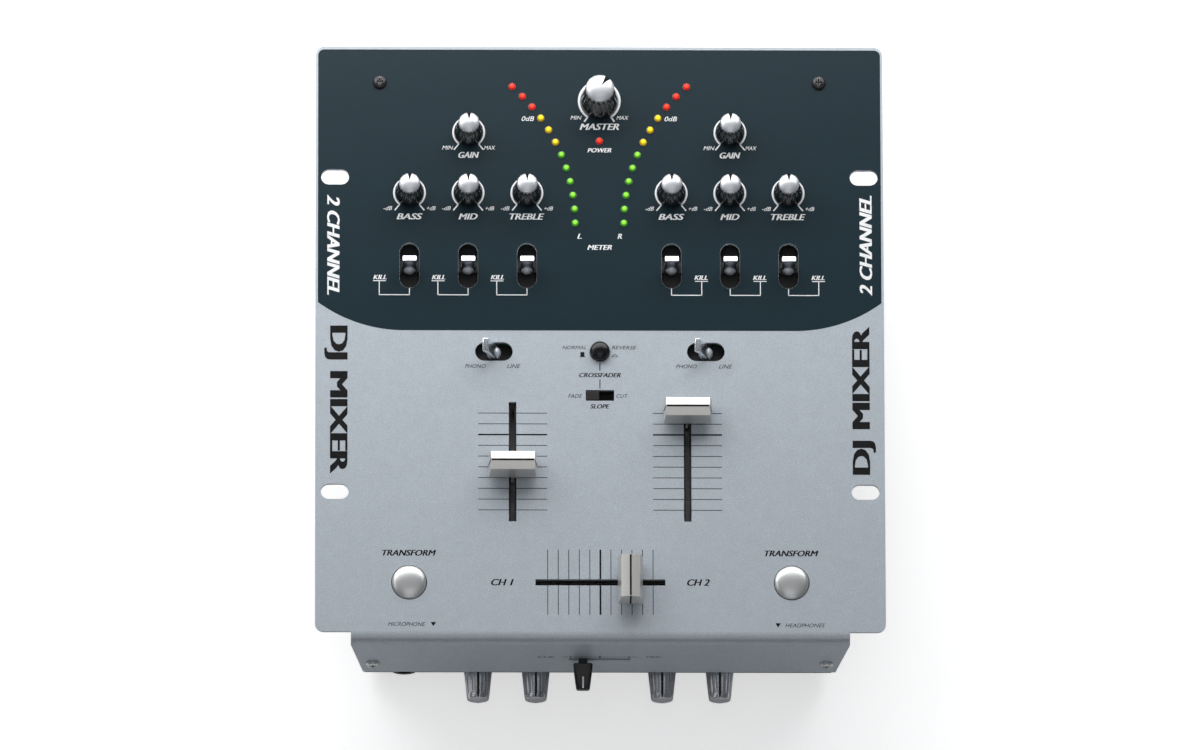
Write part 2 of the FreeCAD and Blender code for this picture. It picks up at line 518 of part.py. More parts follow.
# ---- sockets and rear panel ------------------------------------------------
def make_front_jacks():
    jacks = []
    for x, reach in ((MIC_X, -5.0), (PHONES_X, -1.5)):
        collar = rod(JACK_COLLAR_R, at(x, reach, FRONT_AXIS_Z), 3 - reach, REAR)
        shell = block(x - 9, x + 9, TRAY_FRONT + TRAY_SHEET, 29, FRONT_AXIS_Z - 9, FRONT_AXIS_Z + 9)
        jacks.append(collar.fuse(shell).cut(rod(JACK_BORE_R, at(x, reach - 1, FRONT_AXIS_Z), 25 - reach,
                                                REAR)))
    export("front_jacks", *jacks)


def make_rear():
    wall = TRAY_REAR
    barrel = turned([(RCA_BORE_R, -10.4), (RCA_NECK_R, -10.4), (RCA_NECK_R, RCA_SEAT), (RCA_R, RCA_SEAT),
                     (RCA_R, RCA_REACH), (RCA_BORE_R, RCA_REACH)])
    washer = turned([(RCA_NECK_R, 0), (5.5, 0), (5.5, 1.3), (5.1, 1.8), (RCA_NECK_R, 1.8)])
    insert = turned([(RCA_PIN_R, -4), (RCA_BORE_R, -4), (RCA_BORE_R, 8.6), (RCA_PIN_R, 8.6)])
    barrels, rings = [], {RCA_ROWS[0]: [], RCA_ROWS[1]: []}
    for x in RCA_COLUMNS:
        for z in RCA_ROWS:
            barrels.append(aimed(barrel, at(x, wall, z), REAR))
            rings[z] += [aimed(part, at(x, wall, z), REAR) for part in (washer, insert)]
    export("rca_barrels", *barrels)
    export("rca_rings_red", *rings[RCA_ROWS[0]])
    export("rca_rings_white", *rings[RCA_ROWS[1]])

    post = turned([(0, -6), (2, -6), (2, 0.2), (3, 0.2), (3, 1.2), (4.5, 1.8), (4.5, 7.4), (4, 8), (0, 8)])
    export("ground_posts", *[aimed(post, at(x, wall, REAR_Z), REAR) for x in GROUND_X])

    inlet = rod(4, at(INLET_X, wall - 2, REAR_Z), 3.4, REAR)
    inlet = inlet.fuse(block(INLET_X - 6, INLET_X + 6, wall - 15, wall - TRAY_SHEET, REAR_Z - 6, REAR_Z + 6))
    inlet = inlet.cut(rod(2.75, at(INLET_X, wall - 9, REAR_Z), 12, REAR))
    export("power_inlet", inlet.fuse(rod(1.0, at(INLET_X, wall - 10, REAR_Z), 9.5, REAR)))

    frame = block(ROCKER_X - 7, ROCKER_X + 7, wall, wall + 1.6, REAR_Z - 10, REAR_Z + 10)
    shell = block(ROCKER_X - 5.5, ROCKER_X + 5.5, wall - 13, wall, REAR_Z - 8.5, REAR_Z + 8.5)
    pocket = rod(ROCKER_R + 0.4, at(ROCKER_X - 4.9, wall - 1, REAR_Z), 9.8, RIGHT)
    bore = rod(ROCKER_PIN_R + RUNNING, at(ROCKER_X - 5.2, wall - 1, REAR_Z), 10.4, RIGHT)
    export("power_switch_body", frame.fuse(shell).cut([pocket, bore]))
    rocker = rod(ROCKER_R, at(ROCKER_X - 4.6, wall - 1, REAR_Z), 9.2, RIGHT)
    far = 12.0
    rise = far * math.tan(math.radians(ROCKER_SWING))
    faces = [(wall + 2.2, REAR_Z), (wall + 2.2 + rise, REAR_Z + far), (wall + 12, REAR_Z + far),
             (wall + 12, REAR_Z - far), (wall + 2.2 + rise, REAR_Z - far)]
    trim = outline([(v, z, 0) for v, z in faces], lambda p: at(ROCKER_X - 6, p.x, p.y)).extrude(RIGHT * 12)
    rocker = rocker.cut(trim).fuse(rod(ROCKER_PIN_R, at(ROCKER_X - 5.1, wall - 1, REAR_Z), 10.2, RIGHT))
    rocker.rotate(at(0, wall - 1, REAR_Z), RIGHT, ROCKER_SWING)
    export("power_rocker", rocker)


os.makedirs("parts", exist_ok=True)
make_top_panel()
make_tray()
make_fasteners_and_feet()
make_boards()
make_knobs()
make_front_knobs()
make_toggles()
make_buttons_and_slope()
make_faders()
make_cue_slider()
make_leds()
make_front_jacks()
make_rear()
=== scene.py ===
"""Looks of a two-channel DJ mixer: its finishes, printed legends, knobs, levers and faders.

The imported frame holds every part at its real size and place. This script dresses those parts,
replaces the ones whose skin needs finer work, and sets the floor, the light and the camera.
All places are in metres in the frame's own axes: +X right, +Y to the rear, +Z up.
"""

import logging
import math
from dataclasses import dataclass, field
from enum import Enum
from typing import Any, Callable, Sequence

import bpy
import numpy as np
from mathutils import Matrix, Vector

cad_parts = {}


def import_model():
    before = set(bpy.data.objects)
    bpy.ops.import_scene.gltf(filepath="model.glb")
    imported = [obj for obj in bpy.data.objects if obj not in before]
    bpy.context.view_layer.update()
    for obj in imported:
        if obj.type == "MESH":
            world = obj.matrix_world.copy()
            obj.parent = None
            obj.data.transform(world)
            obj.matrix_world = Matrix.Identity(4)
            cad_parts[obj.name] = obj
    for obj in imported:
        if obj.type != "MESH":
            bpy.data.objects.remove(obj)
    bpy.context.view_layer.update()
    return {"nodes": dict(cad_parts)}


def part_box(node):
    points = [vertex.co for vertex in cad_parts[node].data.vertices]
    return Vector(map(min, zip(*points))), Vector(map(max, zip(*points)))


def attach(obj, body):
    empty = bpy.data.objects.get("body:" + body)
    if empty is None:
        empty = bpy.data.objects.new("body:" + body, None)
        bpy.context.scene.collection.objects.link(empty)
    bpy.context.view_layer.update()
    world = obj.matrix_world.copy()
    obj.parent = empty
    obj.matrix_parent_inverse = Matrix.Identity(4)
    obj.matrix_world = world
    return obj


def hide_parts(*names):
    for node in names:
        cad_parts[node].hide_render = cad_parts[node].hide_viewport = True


LOG = logging.getLogger("dj_mixer")
MM = 0.001
ROOT = "chassis"
Colour = Place = tuple[float, float, float]
Socket = bpy.types.NodeSocket
Material = bpy.types.Material


# ---- shapes
class Axis(Enum):
    """A frame axis through the origin."""

    X = "x"
    Y = "y"
    Z = "z"


@dataclass
class Shape:
    """Points in metres, the faces that join them and the finish number of each face."""

    points: np.ndarray
    faces: list[list[int]]
    finish: list[int] = field(default_factory=list)

    def __post_init__(self) -> None:
        """Gives every face the first finish unless the maker said otherwise."""
        if not self.finish:
            self.finish = [0] * len(self.faces)

    def finished(self, number: int) -> "Shape":
        """The same shape with every face in one finish."""
        return Shape(self.points, self.faces, [number] * len(self.faces))

    def moved(self, x: float, y: float, z: float) -> "Shape":
        """The same shape shifted."""
        return Shape(self.points + np.array([x, y, z]), self.faces, self.finish)

    def scaled(self, factor: float) -> "Shape":
        """The same shape made larger or smaller about the origin."""
        return Shape(self.points * factor, self.faces, self.finish)

    def turned(self, axis: Axis, degrees: float) -> "Shape":
        """The same shape turned about a frame axis by the right-hand rule."""
        c, s = math.cos(math.radians(degrees)), math.sin(math.radians(degrees))
        matrix = {Axis.X: [[1, 0, 0], [0, c, -s], [0, s, c]],
                  Axis.Y: [[c, 0, s], [0, 1, 0], [-s, 0, c]],
                  Axis.Z: [[c, -s, 0], [s, c, 0], [0, 0, 1]]}[axis]
        return Shape(self.points @ np.array(matrix).T, self.faces, self.finish)


def joined(shapes: Sequence[Shape]) -> Shape:
    """One shape that holds all the given ones.

    Args:
        shapes: the shapes to join; they keep their places and finishes.

    Returns:
        A shape with their points and faces in order.
    """
    starts = np.cumsum([0] + [len(s.points) for s in shapes])
    faces = [[i + int(start) for i in face] for s, start in zip(shapes, starts) for face in s.faces]
    return Shape(np.vstack([s.points for s in shapes]), faces, [f for s in shapes for f in s.finish])


def skin(grid: np.ndarray, closed_ends: bool = True) -> Shape:
    """A tube through rings of points: row r, column c joins to r+1 and c+1, and columns wrap.

    Args:
        grid: ring points, shaped (rows, columns, 3), anticlockwise seen against the direction of travel.
        closed_ends: whether each end ring is closed by a fan about its middle.

    Returns:
        The skin, with its faces pointing away from the axis.
    """
    rows, columns = grid.shape[:2]
    r, c = np.meshgrid(np.arange(rows - 1), np.arange(columns), indexing="ij")
    d = (c + 1) % columns
    faces = np.stack([r * columns + c, r * columns + d, (r + 1) * columns + d, (r + 1) * columns + c], -1)
    points, quads = grid.reshape(-1, 3), faces.reshape(-1, 4).tolist()
    if not closed_ends:
        return Shape(points, quads)
    first, last = rows * columns, rows * columns + 1
    points = np.vstack([points, grid[0].mean(0), grid[-1].mean(0)])
    ring = np.arange(columns)
    ahead, top = (ring + 1) % columns, (rows - 1) * columns
    bottom_fan = np.stack([np.full(columns, first), ahead, ring], -1).tolist()
    top_fan = np.stack([np.full(columns, last), ring + top, ahead + top], -1).tolist()
    return Shape(points, quads + bottom_fan + top_fan)


def rounded(corners: Sequence[tuple[float, float, float]], steps: int = 5) -> np.ndarray:
    """A profile whose inner corners are rounded by arcs.

    Args:
        corners: (a, b, radius) corners in order; the first and last stay sharp.
        steps: points on each arc.

    Returns:
        The profile's points, shaped (n, 2). Each arc is a quadratic blend between its tangent points.
    """
    out = [np.array(corners[0][:2])[None]]
    for before, here, after in zip(corners, corners[1:], corners[2:]):
        p = np.array(here[:2])
        if here[2] <= 0:
            out.append(p[None])
            continue
        back, ahead = np.array(before[:2]) - p, np.array(after[:2]) - p
        start = p + back / np.linalg.norm(back) * min(here[2], np.linalg.norm(back) * 0.49)
        stop = p + ahead / np.linalg.norm(ahead) * min(here[2], np.linalg.norm(ahead) * 0.49)
        t = np.linspace(0, 1, steps)[:, None]
        out.append(start * (1 - t) ** 2 + 2 * p * t * (1 - t) + stop * t ** 2)
    out.append(np.array(corners[-1][:2])[None])
    return np.vstack(out)


def lathe(profile: np.ndarray, columns: int,
          swell: Callable[[np.ndarray, np.ndarray], np.ndarray] | None = None) -> Shape:
    """A turned shape about +Z: the profile's (radius, height) carried round a circle.

    Args:
        profile: (radius, height) points in metres, from the bottom up.
        columns: points on each ring.
        swell: a factor on the radius from the row's height and the column's angle, such as flutes.

    Returns:
        The closed skin.
    """
    angle = np.arange(columns) * 2 * math.pi / columns
    radius = np.repeat(profile[:, :1], columns, 1)
    if swell is not None:
        radius = radius * swell(profile[:, 1:], angle[None])
    height = np.repeat(profile[:, 1:], columns, 1)
    return skin(np.stack([radius * np.cos(angle), radius * np.sin(angle), height], -1))


def ring_of(half_x: float, half_y: float, radius: float, steps: int = 5) -> np.ndarray:
    """A rectangle with round corners as (x, y) points, anticlockwise: four quarter circles."""
    turn = np.linspace(0, math.pi / 2, steps)
    parts = []
    for i, (sx, sy) in enumerate(((1, 1), (-1, 1), (-1, -1), (1, -1))):
        a = turn + i * math.pi / 2
        parts.append(np.stack([sx * (half_x - radius) + radius * np.cos(a),
                               sy * (half_y - radius) + radius * np.sin(a)], -1))
    return np.vstack(parts)


def stack(levels: Sequence[tuple[float, float, float, float, float]], steps: int = 5) -> Shape:
    """A lofted block through round-cornered rectangles.

    Args:
        levels: (half x, half y, corner radius, centre y, z) of each rectangle, from the bottom up.
        steps: points on each corner.

    Returns:
        The closed skin.
    """
    rings = []
    for half_x, half_y, radius, centre_y, z in levels:
        ring = ring_of(half_x, half_y, radius, steps)
        rings.append(np.column_stack([ring[:, 0], ring[:, 1] + centre_y, np.full(len(ring), z)]))
    return skin(np.array(rings))


def slab(x0: float, x1: float, y0: float, y1: float, z0: float, z1: float) -> Shape:
    """A plain box between two corners."""
    half_x, half_y = (x1 - x0) / 2, (y1 - y0) / 2
    corners = np.array([[-1, -1], [1, -1], [1, 1], [-1, 1]]) * [half_x, half_y]
    centre = np.array([(x0 + x1) / 2, (y0 + y1) / 2])
    rings = [np.column_stack([corners + centre, np.full(4, z)]) for z in (z0, z1)]
    faces = [[0, 3, 2, 1], [4, 5, 6, 7]] + [[i, (i + 1) % 4, (i + 1) % 4 + 4, i + 4] for i in range(4)]
    return Shape(np.vstack(rings), faces)


def strip(path: np.ndarray, half_width: float, thickness: float) -> Shape:
    """A flat strip carried along a path in the X-Z plane, its width along Y.

    Args:
        path: (x, z) points.
        half_width: half the strip's width.
        thickness: how far the strip stands off the path, along the path's left-hand normal.

    Returns:
        The closed strip; each row is the path's point and the same point moved along the normal.
    """
    along = np.gradient(path, axis=0)
    normal = np.column_stack([-along[:, 1], along[:, 0]]) / np.linalg.norm(along, axis=1)[:, None]
    outer = path + normal * thickness
    rows = []
    for side, line in ((-1, path), (1, path), (1, outer), (-1, outer)):
        rows.append(np.column_stack([line[:, 0], np.full(len(line), side * half_width), line[:, 1]]))
    return skin(np.stack(rows, 1))


# ---- pieces
def new_object(name: str, data: Any) -> bpy.types.Object:
    """A new object in the scene that holds the given data."""
    made = bpy.data.objects.new(name, data)
    bpy.context.scene.collection.objects.link(made)
    return made


def mesh_from(name: str, shape: Shape, sharp_degrees: float) -> bpy.types.Mesh:
    """A mesh datablock with smooth faces and sharp edges past an angle."""
    mesh = bpy.data.meshes.new(name)
    mesh.from_pydata(shape.points.tolist(), [], shape.faces)
    mesh.polygons.foreach_set("material_index", shape.finish)
    mesh.update()
    mesh.shade_smooth()
    mesh.set_sharp_from_angle(angle=math.radians(sharp_degrees))
    return mesh


def add_piece(name: str, shape: Shape, finishes: Sequence[Material], body: str,
              replaces: str | None = None, sharp_degrees: float = 35.0,
              bevel: float = 0.0) -> bpy.types.Object:
    """Adds one finished piece to the scene and ties it to its body.

    Args:
        name: the piece's name.
        shape: its skin, already in place.
        finishes: materials, in the order of the shape's finish numbers.
        body: the body that it rides on.
        replaces: the plain part that it stands for, if any.
        sharp_degrees: edges bent more than this stay sharp.
        bevel: width of the rounding on those edges, or 0.

    Returns:
        The new object.
    """
    piece = new_object(name, mesh_from(name, shape, sharp_degrees))
    for material in finishes:
        piece.data.materials.append(material)
    if bevel:
        rounding = piece.modifiers.new("round_edges", "BEVEL")
        rounding.width, rounding.segments, rounding.limit_method = bevel, 2, "ANGLE"
        rounding.angle_limit = math.radians(sharp_degrees)
        rounding.harden_normals = True
    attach(piece, body)
    if replaces:
        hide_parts(replaces)
    LOG.info("piece %s on %s: %d faces", name, body, len(shape.faces))
    return piece


# ---- node graphs
class Graph:
    """A short way to place and join shader nodes in one tree."""

    def __init__(self, tree: bpy.types.NodeTree) -> None:
        """Keeps the tree that the nodes go into."""
        self.tree = tree

    def add(self, kind: str, inputs: dict[Any, Any] | None = None, **settings: Any) -> bpy.types.Node:
        """Places a node.

        Args:
            kind: the node's type name.
            inputs: socket name or number to a value, or to an output socket to join.
            settings: properties of the node itself.

        Returns:
            The node.
        """
        node = self.tree.nodes.new(kind)
        for key, value in settings.items():
            setattr(node, key, value)
        for key, value in (inputs or {}).items():
            if isinstance(value, Socket):
                self.tree.links.new(value, node.inputs[key])
            else:
                node.inputs[key].default_value = value
        return node

    def join(self, sources: dict[str, Socket], node: bpy.types.Node) -> None:
        """Links each output socket into the node's input of the given name."""
        for name, source in sources.items():
            self.tree.links.new(source, node.inputs[name])

    def math(self, operation: str, *values: Any) -> Socket:
        """The result of a Math node on numbers or sockets."""
        return self.add("ShaderNodeMath", dict(enumerate(values)), operation=operation).outputs[0]

    def blend(self, factor: Any, low: Any, high: Any) -> Socket:
        """A colour mixed from two colours or colour sockets."""
        def paint(value: Any) -> Any:
            """A colour with its alpha, or the socket as it is."""
            return value if isinstance(value, Socket) else (*value, 1.0)
        node = self.add("ShaderNodeMix", {0: factor, 6: paint(low), 7: paint(high)}, data_type="RGBA")
        return node.outputs[2]


class Effect(Enum):
    """The shader effects that several finishes share, by the names of their groups."""

    GRAIN = "fine_grain"
    HANDLING = "handling"
    WEAR = "edge_wear"


class Groups:
    """The shared effects' node groups, each built once, and the numbers that set their look."""

    BROAD_SCALE, FINE_SHARE, TONES = 0.07, 0.9, (0.32, 0.68)
    SMUDGE_SCALE, MOTES_PER_M, DUST_SHADE, DUST_COLOUR = 55.0, 700.0, 0.35, (0.55, 0.55, 0.53)
    CHIPS_PER_M, EDGE_GAIN = 900.0, 9.0
    _built: dict[Effect, bpy.types.NodeTree] = {}

    @classmethod
    def _start(cls, effect: Effect, inputs: dict[str, str],
               outputs: dict[str, str]) -> tuple[Graph, Any, Any]:
        """A new group tree with its sockets, as a graph and its two end nodes."""
        tree = bpy.data.node_groups.new(effect.value, "ShaderNodeTree")
        for in_out, sockets in (("INPUT", inputs), ("OUTPUT", outputs)):
            for socket, kind in sockets.items():
                tree.interface.new_socket(socket, in_out=in_out, socket_type="NodeSocket" + kind)
        cls._built[effect] = tree
        graph = Graph(tree)
        return graph, graph.add("NodeGroupInput"), graph.add("NodeGroupOutput")

    @classmethod
    def use(cls, graph: Graph, effect: Effect, values: dict[str, Any]) -> bpy.types.Node:
        """Places an effect's group in a graph.

        Args:
            graph: the material's graph.
            effect: which effect; its tree is built on first use.
            values: the group's inputs, as numbers or sockets.

        Returns:
            The group node.
        """
        if effect not in cls._built:
            {Effect.GRAIN: cls.grain, Effect.HANDLING: cls.handling, Effect.WEAR: cls.wear}[effect]()
        return graph.add("ShaderNodeGroup", values, node_tree=cls._built[effect])

    @classmethod
    def grain(cls) -> None:
        """Fine speckle: a fine noise and a little of a broad one give a colour between two tones; the
        fine one alone gives the height."""
        graph, start, end = cls._start(
            Effect.GRAIN, {"Light": "Color", "Dark": "Color", "Scale": "Float", "Stretch": "Vector"},
            {"Color": "Color", "Height": "Float"})
        place = graph.add("ShaderNodeTexCoord").outputs["Object"]
        spread = graph.add("ShaderNodeVectorMath", {0: place, 1: start.outputs["Stretch"]},
                           operation="MULTIPLY").outputs[0]
        fine = graph.add("ShaderNodeTexNoise", {"Vector": spread, "Scale": start.outputs["Scale"],
                                                "Detail": 2.0}).outputs["Fac"]
        broad_scale = graph.math("MULTIPLY", start.outputs["Scale"], cls.BROAD_SCALE)
        broad = graph.add("ShaderNodeTexNoise", {"Vector": spread, "Scale": broad_scale,
                                                 "Detail": 1.0}).outputs["Fac"]
        tone = graph.math("ADD", graph.math("MULTIPLY", fine, cls.FINE_SHARE),
                          graph.math("MULTIPLY", broad, 1 - cls.FINE_SHARE))
        contrast = graph.add("ShaderNodeMapRange", {"Value": tone, "From Min": cls.TONES[0],
                                                    "From Max": cls.TONES[1]})
        mixed = graph.blend(contrast.outputs[0], start.outputs["Dark"], start.outputs["Light"])
        graph.join({"Color": mixed, "Height": fine}, end)

    @classmethod
    def handling(cls) -> None:
        """Finger smudges and dust: broad noise that lifts the roughness and dulls the colour a little."""
        graph, start, end = cls._start(
            Effect.HANDLING, {"Color": "Color", "Roughness": "Float", "Spread": "Float", "Dust": "Float"},
            {"Color": "Color", "Roughness": "Float"})
        place = graph.add("ShaderNodeTexCoord").outputs["Object"]
        smudge = graph.add("ShaderNodeTexNoise", {"Vector": place, "Scale": cls.SMUDGE_SCALE, "Detail": 4.0,
                                                  "Roughness": 0.62, "Distortion": 0.6}).outputs["Fac"]
        lift = graph.math("MULTIPLY", graph.math("SUBTRACT", smudge, 0.5), start.outputs["Spread"])
        rough = graph.math("ADD", start.outputs["Roughness"], lift)
        motes = graph.add("ShaderNodeTexVoronoi",
                          {"Vector": place, "Scale": cls.MOTES_PER_M}).outputs["Distance"]
        mask = graph.math("LESS_THAN", motes, graph.math("MULTIPLY", start.outputs["Dust"], smudge))
        dusty = graph.blend(graph.math("MULTIPLY", mask, cls.DUST_SHADE), start.outputs["Color"],
                            cls.DUST_COLOUR)
        graph.join({"Color": dusty, "Roughness": rough}, end)

    @classmethod
    def wear(cls) -> None:
        """Worn edges: where the rounded normal leaves the true one, broken up by noise."""
        graph, start, end = cls._start(
            Effect.WEAR, {"Color": "Color", "Worn": "Color", "Radius": "Float", "Amount": "Float"},
            {"Color": "Color", "Mask": "Float"})
        soft = graph.add("ShaderNodeBevel", {"Radius": start.outputs["Radius"]}, samples=4).outputs[0]
        true = graph.add("ShaderNodeNewGeometry").outputs["Normal"]
        along = graph.add("ShaderNodeVectorMath", {0: soft, 1: true},
                          operation="DOT_PRODUCT").outputs["Value"]
        place = graph.add("ShaderNodeTexCoord").outputs["Object"]
        chips = graph.add("ShaderNodeTexNoise", {"Vector": place, "Scale": cls.CHIPS_PER_M,
                                                 "Detail": 3.0}).outputs["Fac"]
        edge = graph.math("MULTIPLY", graph.math("SUBTRACT", 1.0, along), cls.EDGE_GAIN)
        worn = graph.math("MULTIPLY", graph.math("MULTIPLY", edge, chips), start.outputs["Amount"])
        mask = graph.add("ShaderNodeClamp", {"Value": worn}).outputs[0]
        worn_colour = graph.blend(mask, start.outputs["Color"], start.outputs["Worn"])
        graph.join({"Color": worn_colour, "Mask": mask}, end)


# ---- finishes
@dataclass(frozen=True)
class Finish:
    """One surface finish: its colour, gloss, grain, handling marks and edge wear."""

    name: str
    colour: Colour
    roughness: float = 0.5
    metallic: float = 0.0
    coat: float = 0.0
    specular: float = 0.5
    grain_per_m: float = 2500.0
    contrast: float = 0.12
    stretch: tuple[float, float, float] = (1.0, 1.0, 1.0)
    relief: float = 0.12
    relief_mm: float = 0.05
    smudge: float = 0.12
    dust: float = 0.08
    worn: Colour | None = None
    wear: float = 0.6
    wear_mm: float = 0.35
    glow: float = 0.0
    coat_roughness: float = 0.08

    def colour_of(self, graph: Graph) -> tuple[Socket, Socket]:
        """The finish's own grained colour and grain height, before wear and handling."""
        light = tuple(min(1.0, c * (1 + self.contrast)) for c in self.colour)
        dark = tuple(c * (1 - self.contrast) for c in self.colour)
        grain = Groups.use(graph, Effect.GRAIN, {"Light": (*light, 1.0), "Dark": (*dark, 1.0),
                                                 "Scale": self.grain_per_m, "Stretch": self.stretch})
        return grain.outputs["Color"], grain.outputs["Height"]

    def make(self) -> Material:
        """Builds the material.

        Returns:
            A material whose graph is grain, then edge wear, then handling, into one shader.
        """
        material = bpy.data.materials.new(self.name)
        material.use_nodes = True
        material.diffuse_color = (*self.colour, 1.0)
        graph = Graph(material.node_tree)
        shader = material.node_tree.nodes["Principled BSDF"]
        colour, height = self.colour_of(graph)
        if self.worn is not None:
            colour = Groups.use(graph, Effect.WEAR, {
                "Color": colour, "Worn": (*self.worn, 1.0), "Radius": self.wear_mm * MM,
                "Amount": self.wear}).outputs["Color"]
        marks = Groups.use(graph, Effect.HANDLING, {"Color": colour, "Roughness": self.roughness,
                                                    "Spread": self.smudge, "Dust": self.dust})
        bump = graph.add("ShaderNodeBump", {"Height": height, "Strength": self.relief,
                                            "Distance": self.relief_mm * MM})
        graph.join({"Base Color": marks.outputs["Color"], "Roughness": marks.outputs["Roughness"],
                    "Normal": bump.outputs[0]}, shader)
        for socket, value in (("Metallic", self.metallic), ("Coat Weight", self.coat),
                              ("Specular IOR Level", self.specular), ("Coat Roughness", self.coat_roughness)):
            shader.inputs[socket].default_value = value
        if self.glow:
            shader.inputs["Emission Color"].default_value = (*self.colour, 1.0)
            shader.inputs["Emission Strength"].default_value = self.glow
        return material


@dataclass(frozen=True)
class PrintedEnamel(Finish):
    """Silver enamel whose rear part is overprinted in dark slate, up to a thin silver rim."""

    slate: Colour = (0.007, 0.025, 0.036)
    slate_low: Colour = (0.004, 0.018, 0.026)
    slate_smoother: float = -0.07
    slate_duller: float = -0.22
    slate_finer: float = 1.4
    half_width: float = 0.1259
    rear: float = 0.1440
    corner: float = 0.0028
    straight_y: float = 0.0130
    straight_half: float = 0.0872
    sweep: float = 0.064
    face_z: float = 0.078

    def mask_of(self, graph: Graph) -> Socket:
        """Where the slate lies: inside a round-cornered rim and behind a line that sweeps up at the sides.

        The line is straight_y in the middle; past straight_half it rises along a circle of radius
        sweep: y = straight_y + sweep - sqrt(sweep^2 - (|x| - straight_half)^2).
        """
        place = graph.add("ShaderNodeTexCoord").outputs["Object"]
        split = graph.add("ShaderNodeSeparateXYZ", {0: place})
        x, y, z = split.outputs
        wide = graph.math("ABSOLUTE", x)
        beyond = graph.math("MAXIMUM", graph.math("SUBTRACT", wide, self.straight_half), 0.0)
        drop = graph.math("SQRT", graph.math("SUBTRACT", self.sweep ** 2, graph.math("POWER", beyond, 2.0)))
        line = graph.math("SUBTRACT", self.straight_y + self.sweep, drop)
        behind = graph.math("GREATER_THAN", y, line)
        out_x = graph.math("MAXIMUM", graph.math("SUBTRACT", wide, self.half_width - self.corner), 0.0)
        out_y = graph.math("MAXIMUM", graph.math("SUBTRACT", y, self.rear - self.corner), 0.0)
        reach = graph.math("SQRT", graph.math("ADD", graph.math("POWER", out_x, 2.0),
                                              graph.math("POWER", out_y, 2.0)))
        inside = graph.math("LESS_THAN", reach, self.corner)
        on_face = graph.math("GREATER_THAN", z, self.face_z - 0.05 * MM)
        return graph.math("MULTIPLY", graph.math("MULTIPLY", behind, inside), on_face)

    def colour_of(self, graph: Graph) -> tuple[Socket, Socket]:
        """The enamel's grain with the slate print over it."""
        silver, height = super().colour_of(graph)
        grain = Groups.use(graph, Effect.GRAIN, {
            "Light": (*self.slate, 1.0), "Dark": (*self.slate_low, 1.0),
            "Scale": self.grain_per_m * self.slate_finer, "Stretch": (1.0, 1.0, 1.0)})
        return graph.blend(self.mask_of(graph), silver, grain.outputs["Color"]), height

    def make(self) -> Material:
        """The enamel's material, with no metal flake and a smoother skin where the slate lies."""
        material = super().make()
        shader, graph = material.node_tree.nodes["Principled BSDF"], Graph(material.node_tree)
        mask, marked = self.mask_of(graph), shader.inputs["Roughness"].links[0].from_socket
        for socket, change, start in (("Metallic", -self.metallic, self.metallic),
                                      ("Roughness", self.slate_smoother, marked),
                                      ("Specular IOR Level", self.slate_duller, self.specular)):
            graph.join({socket: graph.math("MULTIPLY_ADD", mask, change, start)}, shader)
        return material


@dataclass(frozen=True)
class CircuitBoard(Finish):
    """Green solder mask over a square pattern of copper tracks."""

    track: Colour = (0.05, 0.30, 0.13)

    def colour_of(self, graph: Graph) -> tuple[Socket, Socket]:
        """The mask's grain with brighter tracks where a brick pattern has its joints."""
        base, height = super().colour_of(graph)
        place = graph.add("ShaderNodeTexCoord").outputs["Object"]
        bricks = graph.add("ShaderNodeTexBrick", {"Vector": place, "Scale": 180.0, "Mortar Size": 0.03,
                                                  "Color1": (0, 0, 0, 1), "Color2": (0, 0, 0, 1),
                                                  "Mortar": (1, 1, 1, 1)}).outputs["Fac"]
        return graph.blend(bricks, base, self.track), height


@dataclass(frozen=True)
class Lens(Finish):
    """A coloured lens with painted light: its colour is painted deep at the rim and light at the crown, a
    painted highlight where its own lamp shines through.
    """

    roughness: float = 0.3
    specular: float = 0.3
    contrast: float = 0.05
    relief: float = 0.0
    dust: float = 0.0
    glow: float = 0.6
    # crown: the colour of the painted highlight at the lens's top
    crown: Colour = (1.0, 1.0, 1.0)
    rim_z: float = 78.5 * MM
    crown_z: float = 79.55 * MM

    def colour_of(self, graph: Graph) -> tuple[Socket, Socket]:
        """The lens colour with a painted highlight: lighter with height towards the crown."""
        base, height = super().colour_of(graph)
        place = graph.add("ShaderNodeTexCoord").outputs["Object"]
        z = graph.add("ShaderNodeSeparateXYZ", {0: place}).outputs[2]
        rise = graph.add("ShaderNodeMapRange", {"Value": z, "From Min": self.rim_z, "From Max": self.crown_z})
        # Painted highlight: the colour blends to the crown colour as the height rises.
        return graph.blend(graph.math("POWER", rise.outputs[0], 2.0), base, self.crown), height

    def make(self) -> Material:
        """The lens material, which glows in its own graded colour."""
        material = super().make()
        shader = material.node_tree.nodes["Principled BSDF"]
        source = shader.inputs["Base Color"].links[0].from_socket
        material.node_tree.links.new(source, shader.inputs["Emission Color"])
        return material


MATERIALS: dict[str, Material] = {}


